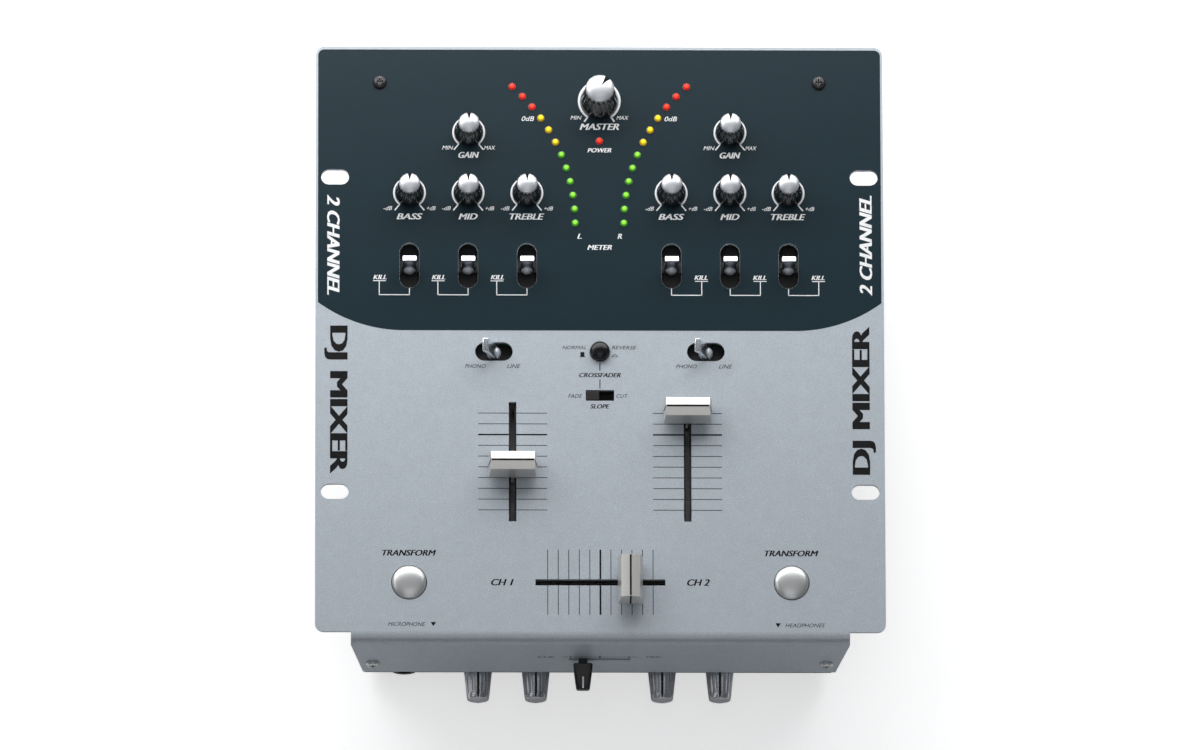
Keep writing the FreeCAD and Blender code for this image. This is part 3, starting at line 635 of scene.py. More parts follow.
class Kind(Enum):
    """The finishes on this object, by the maker's names for them."""

    FACE = PrintedEnamel("silver_enamel_with_slate_print", (0.49, 0.54, 0.59), 0.40, 0.20, grain_per_m=2600.0,
                         contrast=0.17, relief=0.22, relief_mm=0.04, smudge=0.04, dust=0.0,
                         worn=(0.80, 0.82, 0.85), wear=0.3)
    CHASSIS = Finish("black_powder_coat", (0.020, 0.020, 0.022), 0.55, grain_per_m=1800.0, contrast=0.3,
                     relief=0.6, relief_mm=0.12, worn=(0.25, 0.25, 0.26), wear=0.5)
    RUBBER = Finish("foot_rubber", (0.022, 0.022, 0.023), 0.85, grain_per_m=900.0, contrast=0.25, relief=0.4,
                    relief_mm=0.1, dust=0.2)
    STEEL = Finish("zinc_plated_steel", (0.62, 0.63, 0.64), 0.28, 1.0, grain_per_m=1500.0, contrast=0.10,
                   relief=0.1, relief_mm=0.03)
    BLACK_STEEL = Finish("black_oxide_steel", (0.045, 0.045, 0.050), 0.35, 0.8, contrast=0.2,
                         worn=(0.45, 0.45, 0.46), wear=0.7)
    BRASS = Finish("turned_brass", (0.72, 0.53, 0.24), 0.3, 1.0, stretch=(1.0, 1.0, 12.0), relief=0.15)
    BOARD = CircuitBoard("solder_mask", (0.02, 0.17, 0.07), 0.35, coat=0.3, grain_per_m=900.0)
    CAN = Finish("pot_can_steel", (0.55, 0.56, 0.57), 0.33, 1.0, stretch=(14.0, 1.0, 1.0), relief=0.2)
    SWITCH = Finish("switch_black_plastic", (0.012, 0.012, 0.013), 0.42, grain_per_m=2200.0, contrast=0.25,
                    relief=0.25, worn=(0.06, 0.06, 0.065))
    SHIELD = Finish("dust_shield_film", (0.006, 0.006, 0.007), 0.6, contrast=0.3)
    KNOB = Finish("knob_black_gloss", (0.010, 0.011, 0.013), 0.20, coat=0.5, grain_per_m=1800.0,
                  contrast=0.25, relief=0.06, worn=(0.05, 0.05, 0.055), wear=0.4)
    CAP = Finish("knob_cap_silver", (0.74, 0.76, 0.79), 0.36, 0.70, grain_per_m=3500.0, contrast=0.05,
                 relief=0.10, relief_mm=0.02)
    POINTER = Finish("pointer_black", (0.006, 0.006, 0.008), 0.6, specular=0.15, contrast=0.2)
    LEVER = Finish("lever_satin_chrome", (0.76, 0.79, 0.84), 0.26, 1.0, grain_per_m=2500.0, contrast=0.05,
                   relief=0.06, relief_mm=0.02)
    # Painted light: a duller, part-diffuse copy of the lever chrome, so that the ball shows as a lighter lit
    # disc.
    LEVER_BALL_PAINTED_LIGHT = Finish("lever_ball_painted_light", (0.74, 0.77, 0.82), 0.45, 0.55, grain_per_m=2500.0, contrast=0.05,
                        relief=0.06, relief_mm=0.02)
    SMOKED = Finish("smoked_chrome", (0.62, 0.63, 0.66), 0.24, 1.0, grain_per_m=2600.0, contrast=0.08,
                    relief=0.05, relief_mm=0.02, worn=(0.55, 0.55, 0.56), wear=0.5)
    FADER = Finish("fader_silver", (0.71, 0.70, 0.67), 0.36, 0.62, grain_per_m=3000.0, contrast=0.05,
                   relief=0.12, relief_mm=0.02)
    BUTTON = Finish("button_satin_silver", (0.72, 0.73, 0.73), 0.33, 0.85, grain_per_m=3200.0, contrast=0.04,
                    relief=0.08, relief_mm=0.02)
    GLOSS = Finish("button_black_gloss", (0.008, 0.008, 0.010), 0.22, coat=0.2, specular=0.3, contrast=0.25,
                   relief=0.05)
    WHITE_INK = Finish("white_screen_print", (0.96, 0.97, 0.98), 0.5, contrast=0.04, relief=0.05, dust=0.0)
    BLACK_INK = Finish("black_screen_print", (0.005, 0.005, 0.006), 0.55, specular=0.2, contrast=0.2,
                       relief=0.05, dust=0.0)
    # Each lens's crown colour is its painted highlight, lighter than the lens itself.
    RED_LIGHT = Lens("red_light", (0.42, 0.006, 0.004), glow=0.7, crown=(0.95, 0.06, 0.03))
    YELLOW_LIGHT = Lens("yellow_light", (0.45, 0.26, 0.002), crown=(1.0, 0.80, 0.03))
    GREEN_LIGHT = Lens("green_light", (0.018, 0.20, 0.012), crown=(0.30, 0.80, 0.05))
    NICKEL = Finish("nickel_plate", (0.72, 0.70, 0.66), 0.2, 1.0, contrast=0.06, relief=0.06)
    RING_RED = Finish("ring_red", (0.55, 0.012, 0.012), 0.35, contrast=0.1)
    RING_WHITE = Finish("ring_white", (0.78, 0.78, 0.75), 0.35, contrast=0.06)

    def get(self) -> Material:
        """The finish's material, built on first use."""
        if self.value.name not in MATERIALS:
            MATERIALS[self.value.name] = self.value.make()
        return MATERIALS[self.value.name]


# ---- places
@dataclass(frozen=True)
class Layout:
    """Where things are on the faceplate, worked out from the frame."""

    face_z: float
    front: float

    @classmethod
    def read(cls, depth: float) -> "Layout":
        """Reads the faceplate's box; depth is its flat length from front edge to rear edge."""
        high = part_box("top_panel")[1]
        return cls(high.z, high.y - depth)

    def y(self, behind_mm: float) -> float:
        """The Y of a place a number of millimetres behind the faceplate's front edge."""
        return self.front + behind_mm * MM

    @staticmethod
    def centre(node: str) -> tuple[float, float]:
        """The middle of a part's box, seen from above."""
        low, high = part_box(node)
        return (low.x + high.x) / 2, (low.y + high.y) / 2

    def mark(self, node: str) -> tuple[float, float]:
        """The middle of a part in millimetres, across and from the faceplate's front edge."""
        x, y = self.centre(node)
        return x / MM, (y - self.front) / MM


# ---- legends
class Turn(Enum):
    """How a printed word is turned on the faceplate."""

    UPRIGHT = 0.0
    DOWN = -90.0
    UP = 90.0


@dataclass(frozen=True)
class Word:
    """One printed word in millimetres: the middle of its box across and back, and the box's size.

    The weight is how much bolder its strokes are, as a share of its height.
    """

    text: str
    x: float
    y: float
    width: float
    height: float
    weight: float = 0.0
    slanted: bool = True
    turn: Turn = Turn.UPRIGHT


@dataclass
class Lettering:
    """Words and lines in one ink, a hair's thickness above the surface that they are printed on.

    Places and sizes are in millimetres, across from the middle and back from the front edge.
    """

    surface: float = 0.0
    front: float = 0.0
    ink: float = 0.02
    slant: float = 0.28
    bold_copies: int = 5
    copy_lift: float = 0.06
    shapes: list[Shape] = field(default_factory=list)

    def words(self, words: Sequence[Word], x: float = 0.0, y: float = 0.0) -> None:
        """Prints words whose places are measured from x, y.

        Args:
            words: the words; a bold one is a row of overlapping copies, each a little higher.
            x: how far the words' origin is to the right.
            y: how far it is back.
        """
        for word in words:
            shape = self.outline(word)
            sides = np.linspace(-1, 1, self.bold_copies) if word.weight else (0.0,)
            for i, side in enumerate(sides):
                lift = self.ink * (0.5 + self.copy_lift * i)
                copy = shape.moved(side * word.weight * word.height, 0, lift).turned(Axis.Z, word.turn.value)
                self.shapes.append(copy.moved(word.x + x, word.y + y, 0))

    def outline(self, word: Word) -> Shape:
        """One word in the built-in font, made a thin closed mesh and scaled to its box."""
        curve = bpy.data.curves.new("word", "FONT")
        curve.body, curve.size, curve.extrude, curve.resolution_u = word.text, 1.0, 0.01, 3
        curve.shear = self.slant if word.slanted else 0.0
        holder = new_object("word", curve)
        mesh = bpy.data.meshes.new_from_object(holder)
        mesh.calc_loop_triangles()
        points = np.zeros(len(mesh.vertices) * 3)
        mesh.vertices.foreach_get("co", points)
        corners = np.zeros(len(mesh.loop_triangles) * 3, dtype=np.int32)
        mesh.loop_triangles.foreach_get("vertices", corners)
        bpy.data.objects.remove(holder)
        bpy.data.curves.remove(curve)
        bpy.data.meshes.remove(mesh)
        points = points.reshape(-1, 3)
        low, high = points.min(0), points.max(0)
        points = (points - (low + high) / 2) / (high - low) * [word.width, word.height, self.ink]
        return Shape(points, corners.reshape(-1, 3).tolist())

    def line(self, x0: float, y0: float, x1: float, y1: float, width: float) -> None:
        """Prints a straight line along X or Y."""
        grow_x, grow_y = (0.0, width / 2) if abs(x1 - x0) > abs(y1 - y0) else (width / 2, 0.0)
        self.shapes.append(slab(min(x0, x1) - grow_x, max(x0, x1) + grow_x,
                                min(y0, y1) - grow_y, max(y0, y1) + grow_y, 0, self.ink))

    def arc(self, x: float, y: float, radius: float, width: float, reach_degrees: float) -> None:
        """Prints an arc from one side to the other through the rear, as a thin ring section."""
        angle = np.radians(np.linspace(90 - reach_degrees, 90 + reach_degrees, 49))
        inner, outer = radius - width / 2, radius + width / 2
        section = [np.column_stack([r * np.cos(angle), r * np.sin(angle), np.full_like(angle, z)])
                   for r, z in ((inner, 0.0), (outer, 0.0), (outer, self.ink), (inner, self.ink))]
        self.shapes.append(skin(np.stack(section, 1)[::-1]).moved(x, y, 0))

    def dial(self, x: float, y: float, arc: tuple[float, float, float],
             tick: tuple[float, float, float]) -> None:
        """Prints a knob's arc and the tick at each end of it.

        Args:
            x: the knob's middle, across.
            y: the knob's middle, from the front edge.
            arc: the arc's radius and width, and its reach to each side in degrees from the rear.
            tick: the ticks' inner and outer radius and their width.
        """
        self.arc(x, y, *arc)
        inner, outer, width = tick
        for degrees in (-arc[2], arc[2]):
            bar = slab(-width / 2, width / 2, inner, outer, 0, self.ink)
            self.shapes.append(bar.turned(Axis.Z, -degrees).moved(x, y, 0))

    def wedge(self, x: float, y: float, half: float, drop: float) -> None:
        """Prints a filled triangle that points to the front."""
        flat = np.array([[-half, drop / 2], [0, -drop / 2], [half, drop / 2]])
        points = np.vstack([np.column_stack([flat, np.full(3, z)]) for z in (0.0, self.ink)])
        faces = [[0, 2, 1], [3, 4, 5], [0, 1, 4, 3], [1, 2, 5, 4], [2, 0, 3, 5]]
        self.shapes.append(Shape(points, faces).moved(x, y, 0))

    def printed(self) -> Shape:
        """Everything printed so far as one shape in metres, on its surface."""
        return joined(self.shapes).scaled(MM).moved(0, self.front, self.surface)


@dataclass
class Legends:
    """All the printing on the faceplate and the fascia, in millimetres.

    The fascia leans in by fascia_lean degrees from the end of its bend, which is fascia_bend
    behind the front edge and below the face.
    """

    layout: Layout
    bold: float = 0.06
    small: float = 1.8
    label: float = 2.8
    thin: float = 0.32
    kill_line: float = 0.4
    fascia_lean: float = 6.0
    fascia_slot_z: float = 56.0
    fascia_bend: tuple[float, float] = (-4.97, 4.48)

    def build(self) -> None:
        """Prints the white and the black legends."""
        white, black = [Lettering(self.layout.face_z, self.layout.front) for _ in range(2)]
        self.tone_controls(white)
        self.master_and_meter(white)
        self.kill_switches(white)
        self.side_words(white, black)
        self.switches(black)
        self.fader_scales(black)
        self.front_labels(black)
        for name, ink, kind in (("white_legends", white, Kind.WHITE_INK),
                                ("black_legends", black, Kind.BLACK_INK)):
            add_piece(name, ink.printed(), [kind.get()], ROOT, sharp_degrees=20)
        self.fascia()

    def pair(self, low: str, high: str, away: float, down: float, width: float) -> list[Word]:
        """The two small words at the ends of a knob's arc."""
        return [Word(text, side * away, -down, width, self.small) for side, text in ((-1, low), (1, high))]

    def tone_controls(self, ink: Lettering) -> None:
        """Arcs, end marks and names of the gain and tone knobs."""
        ends = self.pair("-dB", "+dB", 9.7, 7.2, 3.9)
        words = {"gain": [Word("GAIN", 0.0, -10.6, 9.0, self.label, self.bold),
                          *self.pair("MIN", "MAX", 9.4, 7.2, 5.0)]}
        for tone, width in (("bass", 11.3), ("mid", 8.3), ("treble", 15.2)):
            words[tone] = [Word(tone.upper(), 0.0, -11.0, width, self.label, self.bold), *ends]
        for side in ("left", "right"):
            for key, around in words.items():
                x, y = self.layout.mark(f"knob_{key}_{side}")
                ink.dial(x, y, arc=(6.95, 0.8, 141.0), tick=(7.0, 10.5, 0.62))
                ink.words(around, x, y)

    def master_and_meter(self, ink: Lettering) -> None:
        """The master knob's arc and words, and the meter's."""
        x, y = self.layout.mark("knob_master")
        ink.dial(x, y, arc=(9.1, 1.0, 145.0), tick=(8.8, 11.8, 0.72))
        ink.words([Word("MASTER", 0.0, -12.0, 17.4, 3.0, self.bold),
                   Word("MIN", -10.4, -7.8, 5.0, self.small), Word("MAX", 10.4, -7.8, 5.4, self.small)], x, y)
        ink.words([Word("POWER", 0.0, 223.3, 10.6, 2.0, self.bold),
                   Word("METER", 0.0, 178.0, 10.8, 2.2, self.bold)])
        for side, letter in ((-1, "L"), (1, "R")):
            ink.words([Word(letter, side * 9.0, 183.2, 1.8, 2.3, self.bold),
                       Word("0dB", side * 32.0, 238.0, 5.6, 2.2)])

    def kill_switches(self, ink: Lettering) -> None:
        """The word and the bent line that runs from it to the foot of each slot."""
        word_y, under_word, corner_y, slot_foot = 164.0, 162.3, 155.8, 158.9
        for side, sign in (("left", -1), ("right", 1)):
            for tone in ("bass", "mid", "treble"):
                x = self.layout.mark(f"kill_lever_{tone}_{side}")[0]
                ink.words([Word("KILL", sign * 13.2, word_y, 5.8, 2.0, self.bold)], x)
                ink.line(x + sign * 10.5, under_word, x + sign * 16.3, under_word, 0.35)
                ink.line(x + sign * 13.5, under_word, x + sign * 13.5, corner_y - 0.1, self.kill_line)
                ink.line(x + sign * 13.7, corner_y, x - sign * 0.2, corner_y, self.kill_line)
                ink.line(x, corner_y, x, slot_foot, self.kill_line)

    def side_words(self, white: Lettering, black: Lettering) -> None:
        """Plain generic words along both flanges."""
        for sign, turn in ((-1, Turn.DOWN), (1, Turn.UP)):
            white.words([Word("2 CHANNEL", sign * 119.0, 179.0, 46.0, 5.6, 0.07, turn=turn)])
            black.words([Word("DJ MIXER", sign * 117.8, 107.0, 67.0, 10.4, 0.085, slanted=False, turn=turn)])

    def switches(self, ink: Lettering) -> None:
        """Words at the input levers, the reverse button and the slope switch."""
        for phono, line in ((-55.6, -38.4), (38.6, 56.1)):
            ink.words([Word("PHONO", phono, 122.7, 9.3, self.small),
                       Word("LINE", line, 122.7, 6.0, self.small)])
        ink.words([Word("NORMAL", -11.4, 131.4, 10.8, 1.7), Word("REVERSE", 10.8, 131.4, 11.2, 1.7),
                   Word("CROSSFADER", 0.0, 118.6, 18.4, 2.0, self.bold),
                   Word("FADE", -11.0, 108.9, 6.4, self.small), Word("CUT", 9.9, 108.9, 5.2, self.small),
                   Word("SLOPE", 0.0, 104.1, 8.6, 2.0, self.bold)])
        panel, fine = 127.1, 0.25
        ink.line(-9.2, panel, -6.4, panel, fine)
        ink.line(-7.8, panel, -7.8, panel + 2.2, 1.8)
        ink.line(5.2, panel, 8.2, panel, fine)
        ink.arc(6.7, panel, 1.0, 0.3, 80)
        for top, foot in ((124.1, 120.7), (116.6, 112.4)):
            ink.line(0, top, 0, foot, 0.45)

    def fader_scales(self, ink: Lettering) -> None:
        """The cross lines beside each fader's slot, one thick, which stop at the slot itself."""
        half, slot, thick, first, step = 15.4, 1.7, 0.7, 100.9, 4.98
        for centre in (-39.0, 39.0):
            for i in range(10):
                width, y = thick if i == 2 else self.thin, first - step * i
                for side in (-1, 1):
                    ink.line(centre + side * half, y, centre + side * slot, y, width)
        low, middle, high, slot, thick, step = 7.7, 22.7, 37.8, 1.45, 0.8, 4.69
        for i in range(-5, 6):
            width, x = thick if i == 0 else self.thin, i * step
            ink.line(x, low, x, middle - slot, width)
            ink.line(x, middle + slot, x, high, width)
        for name, x in (("CH 1", -43.6), ("CH 2", 43.6)):
            ink.words([Word(name, x, middle, 9.8, 3.0, self.bold)])

    def front_labels(self, ink: Lettering) -> None:
        """Words over the transform buttons and at the front edge."""
        ink.words([Word("TRANSFORM", side * 85.1, 36.2, 23.8, 2.7, self.bold) for side in (-1, 1)])
        ink.words([Word("MICROPHONE", -86.2, 3.3, 16.6, self.small),
                   Word("HEADPHONES", 91.0, 3.0, 17.6, self.small)])
        for x, y in ((-74.3, 3.3), (79.0, 3.0)):
            ink.wedge(x, y, 1.2, 2.0)

    def fascia(self) -> None:
        """The cue slider's scale: printed flat, then laid on the leaning fascia."""
        ink = Lettering()
        scale, reach, end = 2.9, 16.6, 13.0
        ink.line(-reach, scale, reach, scale, 0.3)
        for x in (-end, 0.0, end):
            ink.line(x, 1.6, x, 4.0, 0.35 if x else 0.7)
        ink.words([Word("CUE", -24.0, scale, 7.4, 2.0), Word("MIX", 24.0, scale, 7.0, 2.0)])
        (bend_y, bend_drop), slot_z = self.fascia_bend, self.fascia_slot_z * MM
        below_bend = self.layout.face_z - bend_drop * MM - slot_z
        y = self.layout.y(bend_y) - below_bend * math.tan(math.radians(self.fascia_lean))
        upright = ink.printed().turned(Axis.X, 90.0 - self.fascia_lean).moved(0, y, slot_z)
        add_piece("fascia_legends", upright, [Kind.BLACK_INK.get()], ROOT, sharp_degrees=20)


# ---- knobs
@dataclass(frozen=True)
class RotaryKnob:
    """A fluted black knob with a silver domed cap and a black pointer, standing on the faceplate."""

    node: str
    base: float
    waist: float
    cap: float
    height: float
    dome: float
    pointer_from: float
    turn: float = 0.0
    ribs: int = 18
    flute_depth: float = 0.075
    nick_depth: float = 0.12
    foot: float = 0.9 * MM

    def build(self, seat: float) -> None:
        """Makes the body, the cap and the pointer at the knob's place.

        Args:
            seat: height of the knob's skirt.
        """
        x, y = Layout.centre(self.node)
        body_shape = self.body().turned(Axis.Z, self.turn).moved(x, y, seat)
        add_piece(self.node + "_body", body_shape, [Kind.KNOB.get()], self.node, self.node,
                  sharp_degrees=50)
        cap_shape = self.dome_cap().turned(Axis.Z, self.turn).moved(x, y, seat)
        pointer = self.pointer().finished(1).turned(Axis.Z, self.turn).moved(x, y, seat)
        add_piece(self.node + "_cap", joined([cap_shape, pointer]), [Kind.CAP.get(), Kind.POINTER.get()],
                  self.node, sharp_degrees=40)

    def rib_wave(self, angle: np.ndarray, sharpness: float) -> np.ndarray:
        """A wave that peaks at each rib: cos^(2 sharpness) of half the rib angle."""
        return np.abs(np.cos(angle * self.ribs / 2)) ** (2 * sharpness)

    def body(self) -> Shape:
        """A flared body: radius falls from base to waist as a power curve, with ribs fading at the skirt."""
        shoulder = self.height - self.dome
        t = np.linspace(0, 1, 22)
        radius = self.waist + (self.base - self.waist) * (1 - t) ** 1.7
        rows = np.column_stack([radius, self.foot + t * (shoulder - self.foot - 0.6 * MM)])
        foot = np.array([[self.base - 0.5 * MM, 0.0], [self.base - 0.1 * MM, 0.15 * MM],
                         [self.base, 0.5 * MM]])
        rim = np.array([[self.waist - 0.12 * MM, shoulder - 0.35 * MM],
                        [self.waist - 0.45 * MM, shoulder], [0.4 * self.waist, shoulder]])
        profile = np.vstack([foot, rows, rim])

        def flutes(z: np.ndarray, angle: np.ndarray) -> np.ndarray:
            """Valleys between the ribs, deepest near the top and gone at the skirt."""
            depth = self.flute_depth * np.clip(z / shoulder * 1.5 - 0.12, 0, 1)
            return 1 - depth * (1 - self.rib_wave(angle, 1.2))

        return lathe(profile, self.ribs * 10, flutes)

    def top(self, radius: np.ndarray) -> np.ndarray:
        """The dome's height at a radius: a flattened ellipse, height - k (1 - sqrt(1 - (r / R)^2))."""
        fall = 1 - np.sqrt(np.clip(1 - (radius / (self.cap * 1.04)) ** 2, 0, 1))
        return self.height - self.dome * 0.62 * fall

    def dome_cap(self) -> Shape:
        """A shallow dome with a short straight rim, notched where the body's ribs come through."""
        radius = self.cap * np.sin(np.linspace(1, 0, 14) * math.pi / 2)
        crown = np.column_stack([radius, self.top(radius)])
        edge = self.top(np.array([self.cap]))[0]
        rim = np.array([[self.cap - 0.5 * MM, self.height - self.dome - 0.1 * MM],
                        [self.cap, self.height - self.dome + 0.12 * MM],
                        [self.cap, edge - 0.1 * MM]])
        profile = np.vstack([rim, crown[:-1], [[0.02 * MM, self.height]]])

        def notches(z: np.ndarray, angle: np.ndarray) -> np.ndarray:
            """Narrow nicks at the rim that fade towards the crown."""
            near_rim = np.clip((edge + 0.1 * MM - z) / (0.5 * MM), 0, 1)
            return 1 - self.nick_depth * near_rim * self.rib_wave(angle, 4)

        return lathe(profile, self.ribs * 12, notches)

    def pointer(self) -> Shape:
        """A black wedge let into the dome: narrow near the crown, wide at the rim, down over the edge."""
        r = np.append(np.linspace(self.pointer_from, self.cap * 0.985, 12), self.cap + 0.06 * MM)
        half = np.interp(r, [self.pointer_from, self.cap], [0.10 * MM, 0.20 * self.cap])
        high = self.top(np.minimum(r, self.cap * 0.99)) + 0.05 * MM
        high[-1] -= 0.15 * MM
        low = np.full_like(r, self.height - self.dome + 0.1 * MM)
        rows = []
        for side, z in ((1, low), (-1, low), (-1, high), (1, high)):
            rows.append(np.column_stack([side * half, r, z]))
        return skin(np.stack(rows, 1))


@dataclass(frozen=True)
class FrontKnob:
    """A smoked-chrome knob on a horizontal shaft, fluted, with a black pointer line on top."""

    node: str
    base: float = 6.9 * MM
    grip: float = 6.45 * MM
    tip: float = 4.95 * MM
    length: float = 18.4 * MM
    grip_from: float = 1.9 * MM
    nose: float = 3.0 * MM
    flutes: int = 24
    flute_depth: float = 0.035

    def build(self) -> None:
        """Makes the knob and its pointer line, facing the front."""
        low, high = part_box(self.node)
        x, z, front = (low.x + high.x) / 2, (low.z + high.z) / 2, low.y
        shape = joined([self.grip_shape(), self.line().finished(1)])
        shape = shape.turned(Axis.X, 90).moved(x, front + self.length, z)
        add_piece(self.node + "_grip", shape, [Kind.SMOKED.get(), Kind.POINTER.get()], self.node,
                  self.node, sharp_degrees=45)

    def profile(self) -> np.ndarray:
        """The knob's outline from its seat to its shallow cone tip."""
        length = self.length
        grip = np.column_stack([np.linspace(self.grip, self.tip + 0.1 * MM, 16),
                                np.linspace(self.grip_from, length - self.nose, 16)])
        foot = rounded([(self.base - 1.2 * MM, 0, 0), (self.base, 0, 0.3 * MM),
                        (self.base, 1.2 * MM, 0.3 * MM), (self.grip, 1.7 * MM, 0)], 4)
        nose = rounded([(self.tip, length - 2.7 * MM, 0), (self.tip - 0.1 * MM, length - 1.5 * MM, 0.5 * MM),
                        (0.02 * MM, length, 0)], 5)
        return np.vstack([foot, grip, nose])

    def grip_shape(self) -> Shape:
        """The turned knob with shallow flutes along its grip that fade at both ends."""
        def swell(z: np.ndarray, angle: np.ndarray) -> np.ndarray:
            """Scalloped flutes: a rectified sine between sharp ridges."""
            fade = np.clip((z - self.grip_from) / (1.2 * MM), 0, 1)
            fade = fade * np.clip((self.length - self.nose - z) / (1.0 * MM), 0, 1)
            return 1 - self.flute_depth * fade * np.abs(np.sin(angle * self.flutes / 2))
        return lathe(self.profile(), self.flutes * 10, swell)

    def line(self) -> Shape:
        """The pointer line: a thin bar along the grip's +Y side, which the knob's turn brings to the top."""
        z = np.linspace(1.8 * MM, self.length - 1.7 * MM, 10)
        ends = [self.grip_from, self.length - self.nose]
        radius = np.interp(z, ends, [self.grip, self.tip + 0.1 * MM])
        rows = []
        for side, lift in ((1, -0.6), (1, 0.05), (-1, 0.05), (-1, -0.6)):
            rows.append(np.column_stack([np.full_like(z, side * 0.42 * MM), radius + lift * MM, z]))
        return skin(np.stack(rows, 1))


# ---- levers, faders and buttons
@dataclass(frozen=True)
class Lever:
    """A satin paddle lever with a hollow front face on a ball boss."""

    node: str
    turn: float = 0.0
    lean: float = 0.0
    pivot_z: float = 75.0 * MM
    length: float = 15.0 * MM
    half_width: float = 3.2 * MM
    half_depth: float = 1.7 * MM
    hollow: float = 1.05 * MM
    tip_from: float = 0.95

    def build(self, x: float, y: float) -> None:
        """Makes the lever on its pivot, turned and leaning as it rests."""
        # The ball takes the lighter copy of the lever chrome, which is painted light.
        shape = joined([self.paddle(), self.boss().finished(1)])
        shape = shape.turned(Axis.Z, self.turn).turned(Axis.Y, self.lean).moved(x, y, self.pivot_z)
        add_piece(self.node + "_paddle", shape, [Kind.LEVER.get(), Kind.LEVER_BALL_PAINTED_LIGHT.get()], self.node,
                  self.node, sharp_degrees=60)

    def paddle(self) -> Shape:
        """Rounded rectangles up the lever: a sine draws the front face in, and the tip slopes to the rear."""
        t = np.append(np.linspace(0, self.tip_from, 22), [0.962, 0.975, 0.99, 1.0])
        roof = np.clip((t - self.tip_from) / (1 - self.tip_from), 0, 1)
        front = self.hollow * np.sin(math.pi * np.clip(t * 1.05, 0, 1)) + 0.35 * MM * t - self.half_depth
        rear = self.half_depth - 0.5 * MM * t
        rear = rear - (rear - front - 0.5 * MM) * roof
        half = (rear - front) / 2
        wide = self.half_width * (1 - 0.02 * t) - 0.12 * MM * roof ** 3
        levels = zip(wide, half, np.minimum(half * 0.92, 0.45 * MM), (rear + front) / 2, t * self.length)
        return stack([tuple(float(v) for v in level) for level in levels])

    def boss(self) -> Shape:
        """The ball that the paddle grows from: a sphere in rows of equal angle."""
        angle = np.linspace(-math.pi / 2 + 0.05, math.pi / 2 - 0.05, 15)
        radius = self.half_width - 0.02 * MM
        return lathe(np.column_stack([radius * np.cos(angle), radius * np.sin(angle)]), 32)


@dataclass(frozen=True)
class FaderCap:
    """A silver cap with a ridged top and a black index line, on a steel stem."""

    node: str
    turn: float = 0.0
    half_base: tuple[float, float] = (10.7 * MM, 5.55 * MM)
    half_top: tuple[float, float] = (9.7 * MM, 4.15 * MM)
    bottom: float = 81.0 * MM
    ridge: float = 91.0 * MM
    fall: float = 1.1 * MM
    line_half: float = 0.42 * MM
    stem_half: tuple[float, float] = (0.6 * MM, 2.2 * MM)
    stem_foot: float = 62.0 * MM

    def build(self) -> None:
        """Makes the cap, its index line and its stem."""
        x, y = Layout.centre(self.node)
        shape = joined([self.body(), self.index().finished(1), self.stem().finished(2)])
        shape = shape.turned(Axis.Z, self.turn).moved(x, y, 0)
        add_piece(self.node + "_cap", shape, [Kind.FADER.get(), Kind.POINTER.get(), Kind.STEEL.get()],
                  self.node, self.node, sharp_degrees=25, bevel=0.28 * MM)

    def body(self) -> Shape:
        """A block whose section is a flared base, a shoulder and two facets that rise to the ridge.

        The section runs across the slot's line; each section point's half length along X falls
        evenly from the base to the top.
        """
        wide, deep = self.half_base, self.half_top
        shoulder = self.ridge - self.fall
        section = np.array([(-wide[1], self.bottom), (-wide[1] + 0.12 * MM, self.bottom + 1.2 * MM),
                            (-deep[1], shoulder), (-0.45 * MM, self.ridge), (0.45 * MM, self.ridge),
                            (deep[1], shoulder), (wide[1] - 0.12 * MM, self.bottom + 1.2 * MM),
                            (wide[1], self.bottom)])
        rise = (section[:, 1] - self.bottom) / (self.ridge - self.bottom)
        half = wide[0] + (deep[0] - wide[0]) * rise
        ends = [np.column_stack([side * half, section]) for side in (1, -1)]
        count = len(section)
        faces = [[i, (i + 1) % count, (i + 1) % count + count, i + count] for i in range(count)]
        faces += [list(range(count))[::-1], [i + count for i in range(count)]]
        return Shape(np.vstack(ends), faces)

    def index(self) -> Shape:
        """The black line: over the ridge and down both ends."""
        rise = np.array([0.4, 9.6]) * MM / (self.ridge - self.bottom)
        half = self.half_base[0] + (self.half_top[0] - self.half_base[0]) * rise
        x = np.array([-half[0], -half[1], -half[1] + 0.35 * MM])
        z = np.array([self.bottom + 0.4 * MM, self.ridge - 0.4 * MM, self.ridge])
        path = np.column_stack([np.append(x, -x[::-1]), np.append(z, z[::-1])])
        return strip(path, self.line_half, 0.05 * MM)

    def stem(self) -> Shape:
        """The steel blade that runs down through the slot."""
        levels = [(*self.stem_half, 0.2 * MM, 0.0, z) for z in (self.stem_foot, self.bottom + 1.0 * MM)]
        return stack(levels, 3)


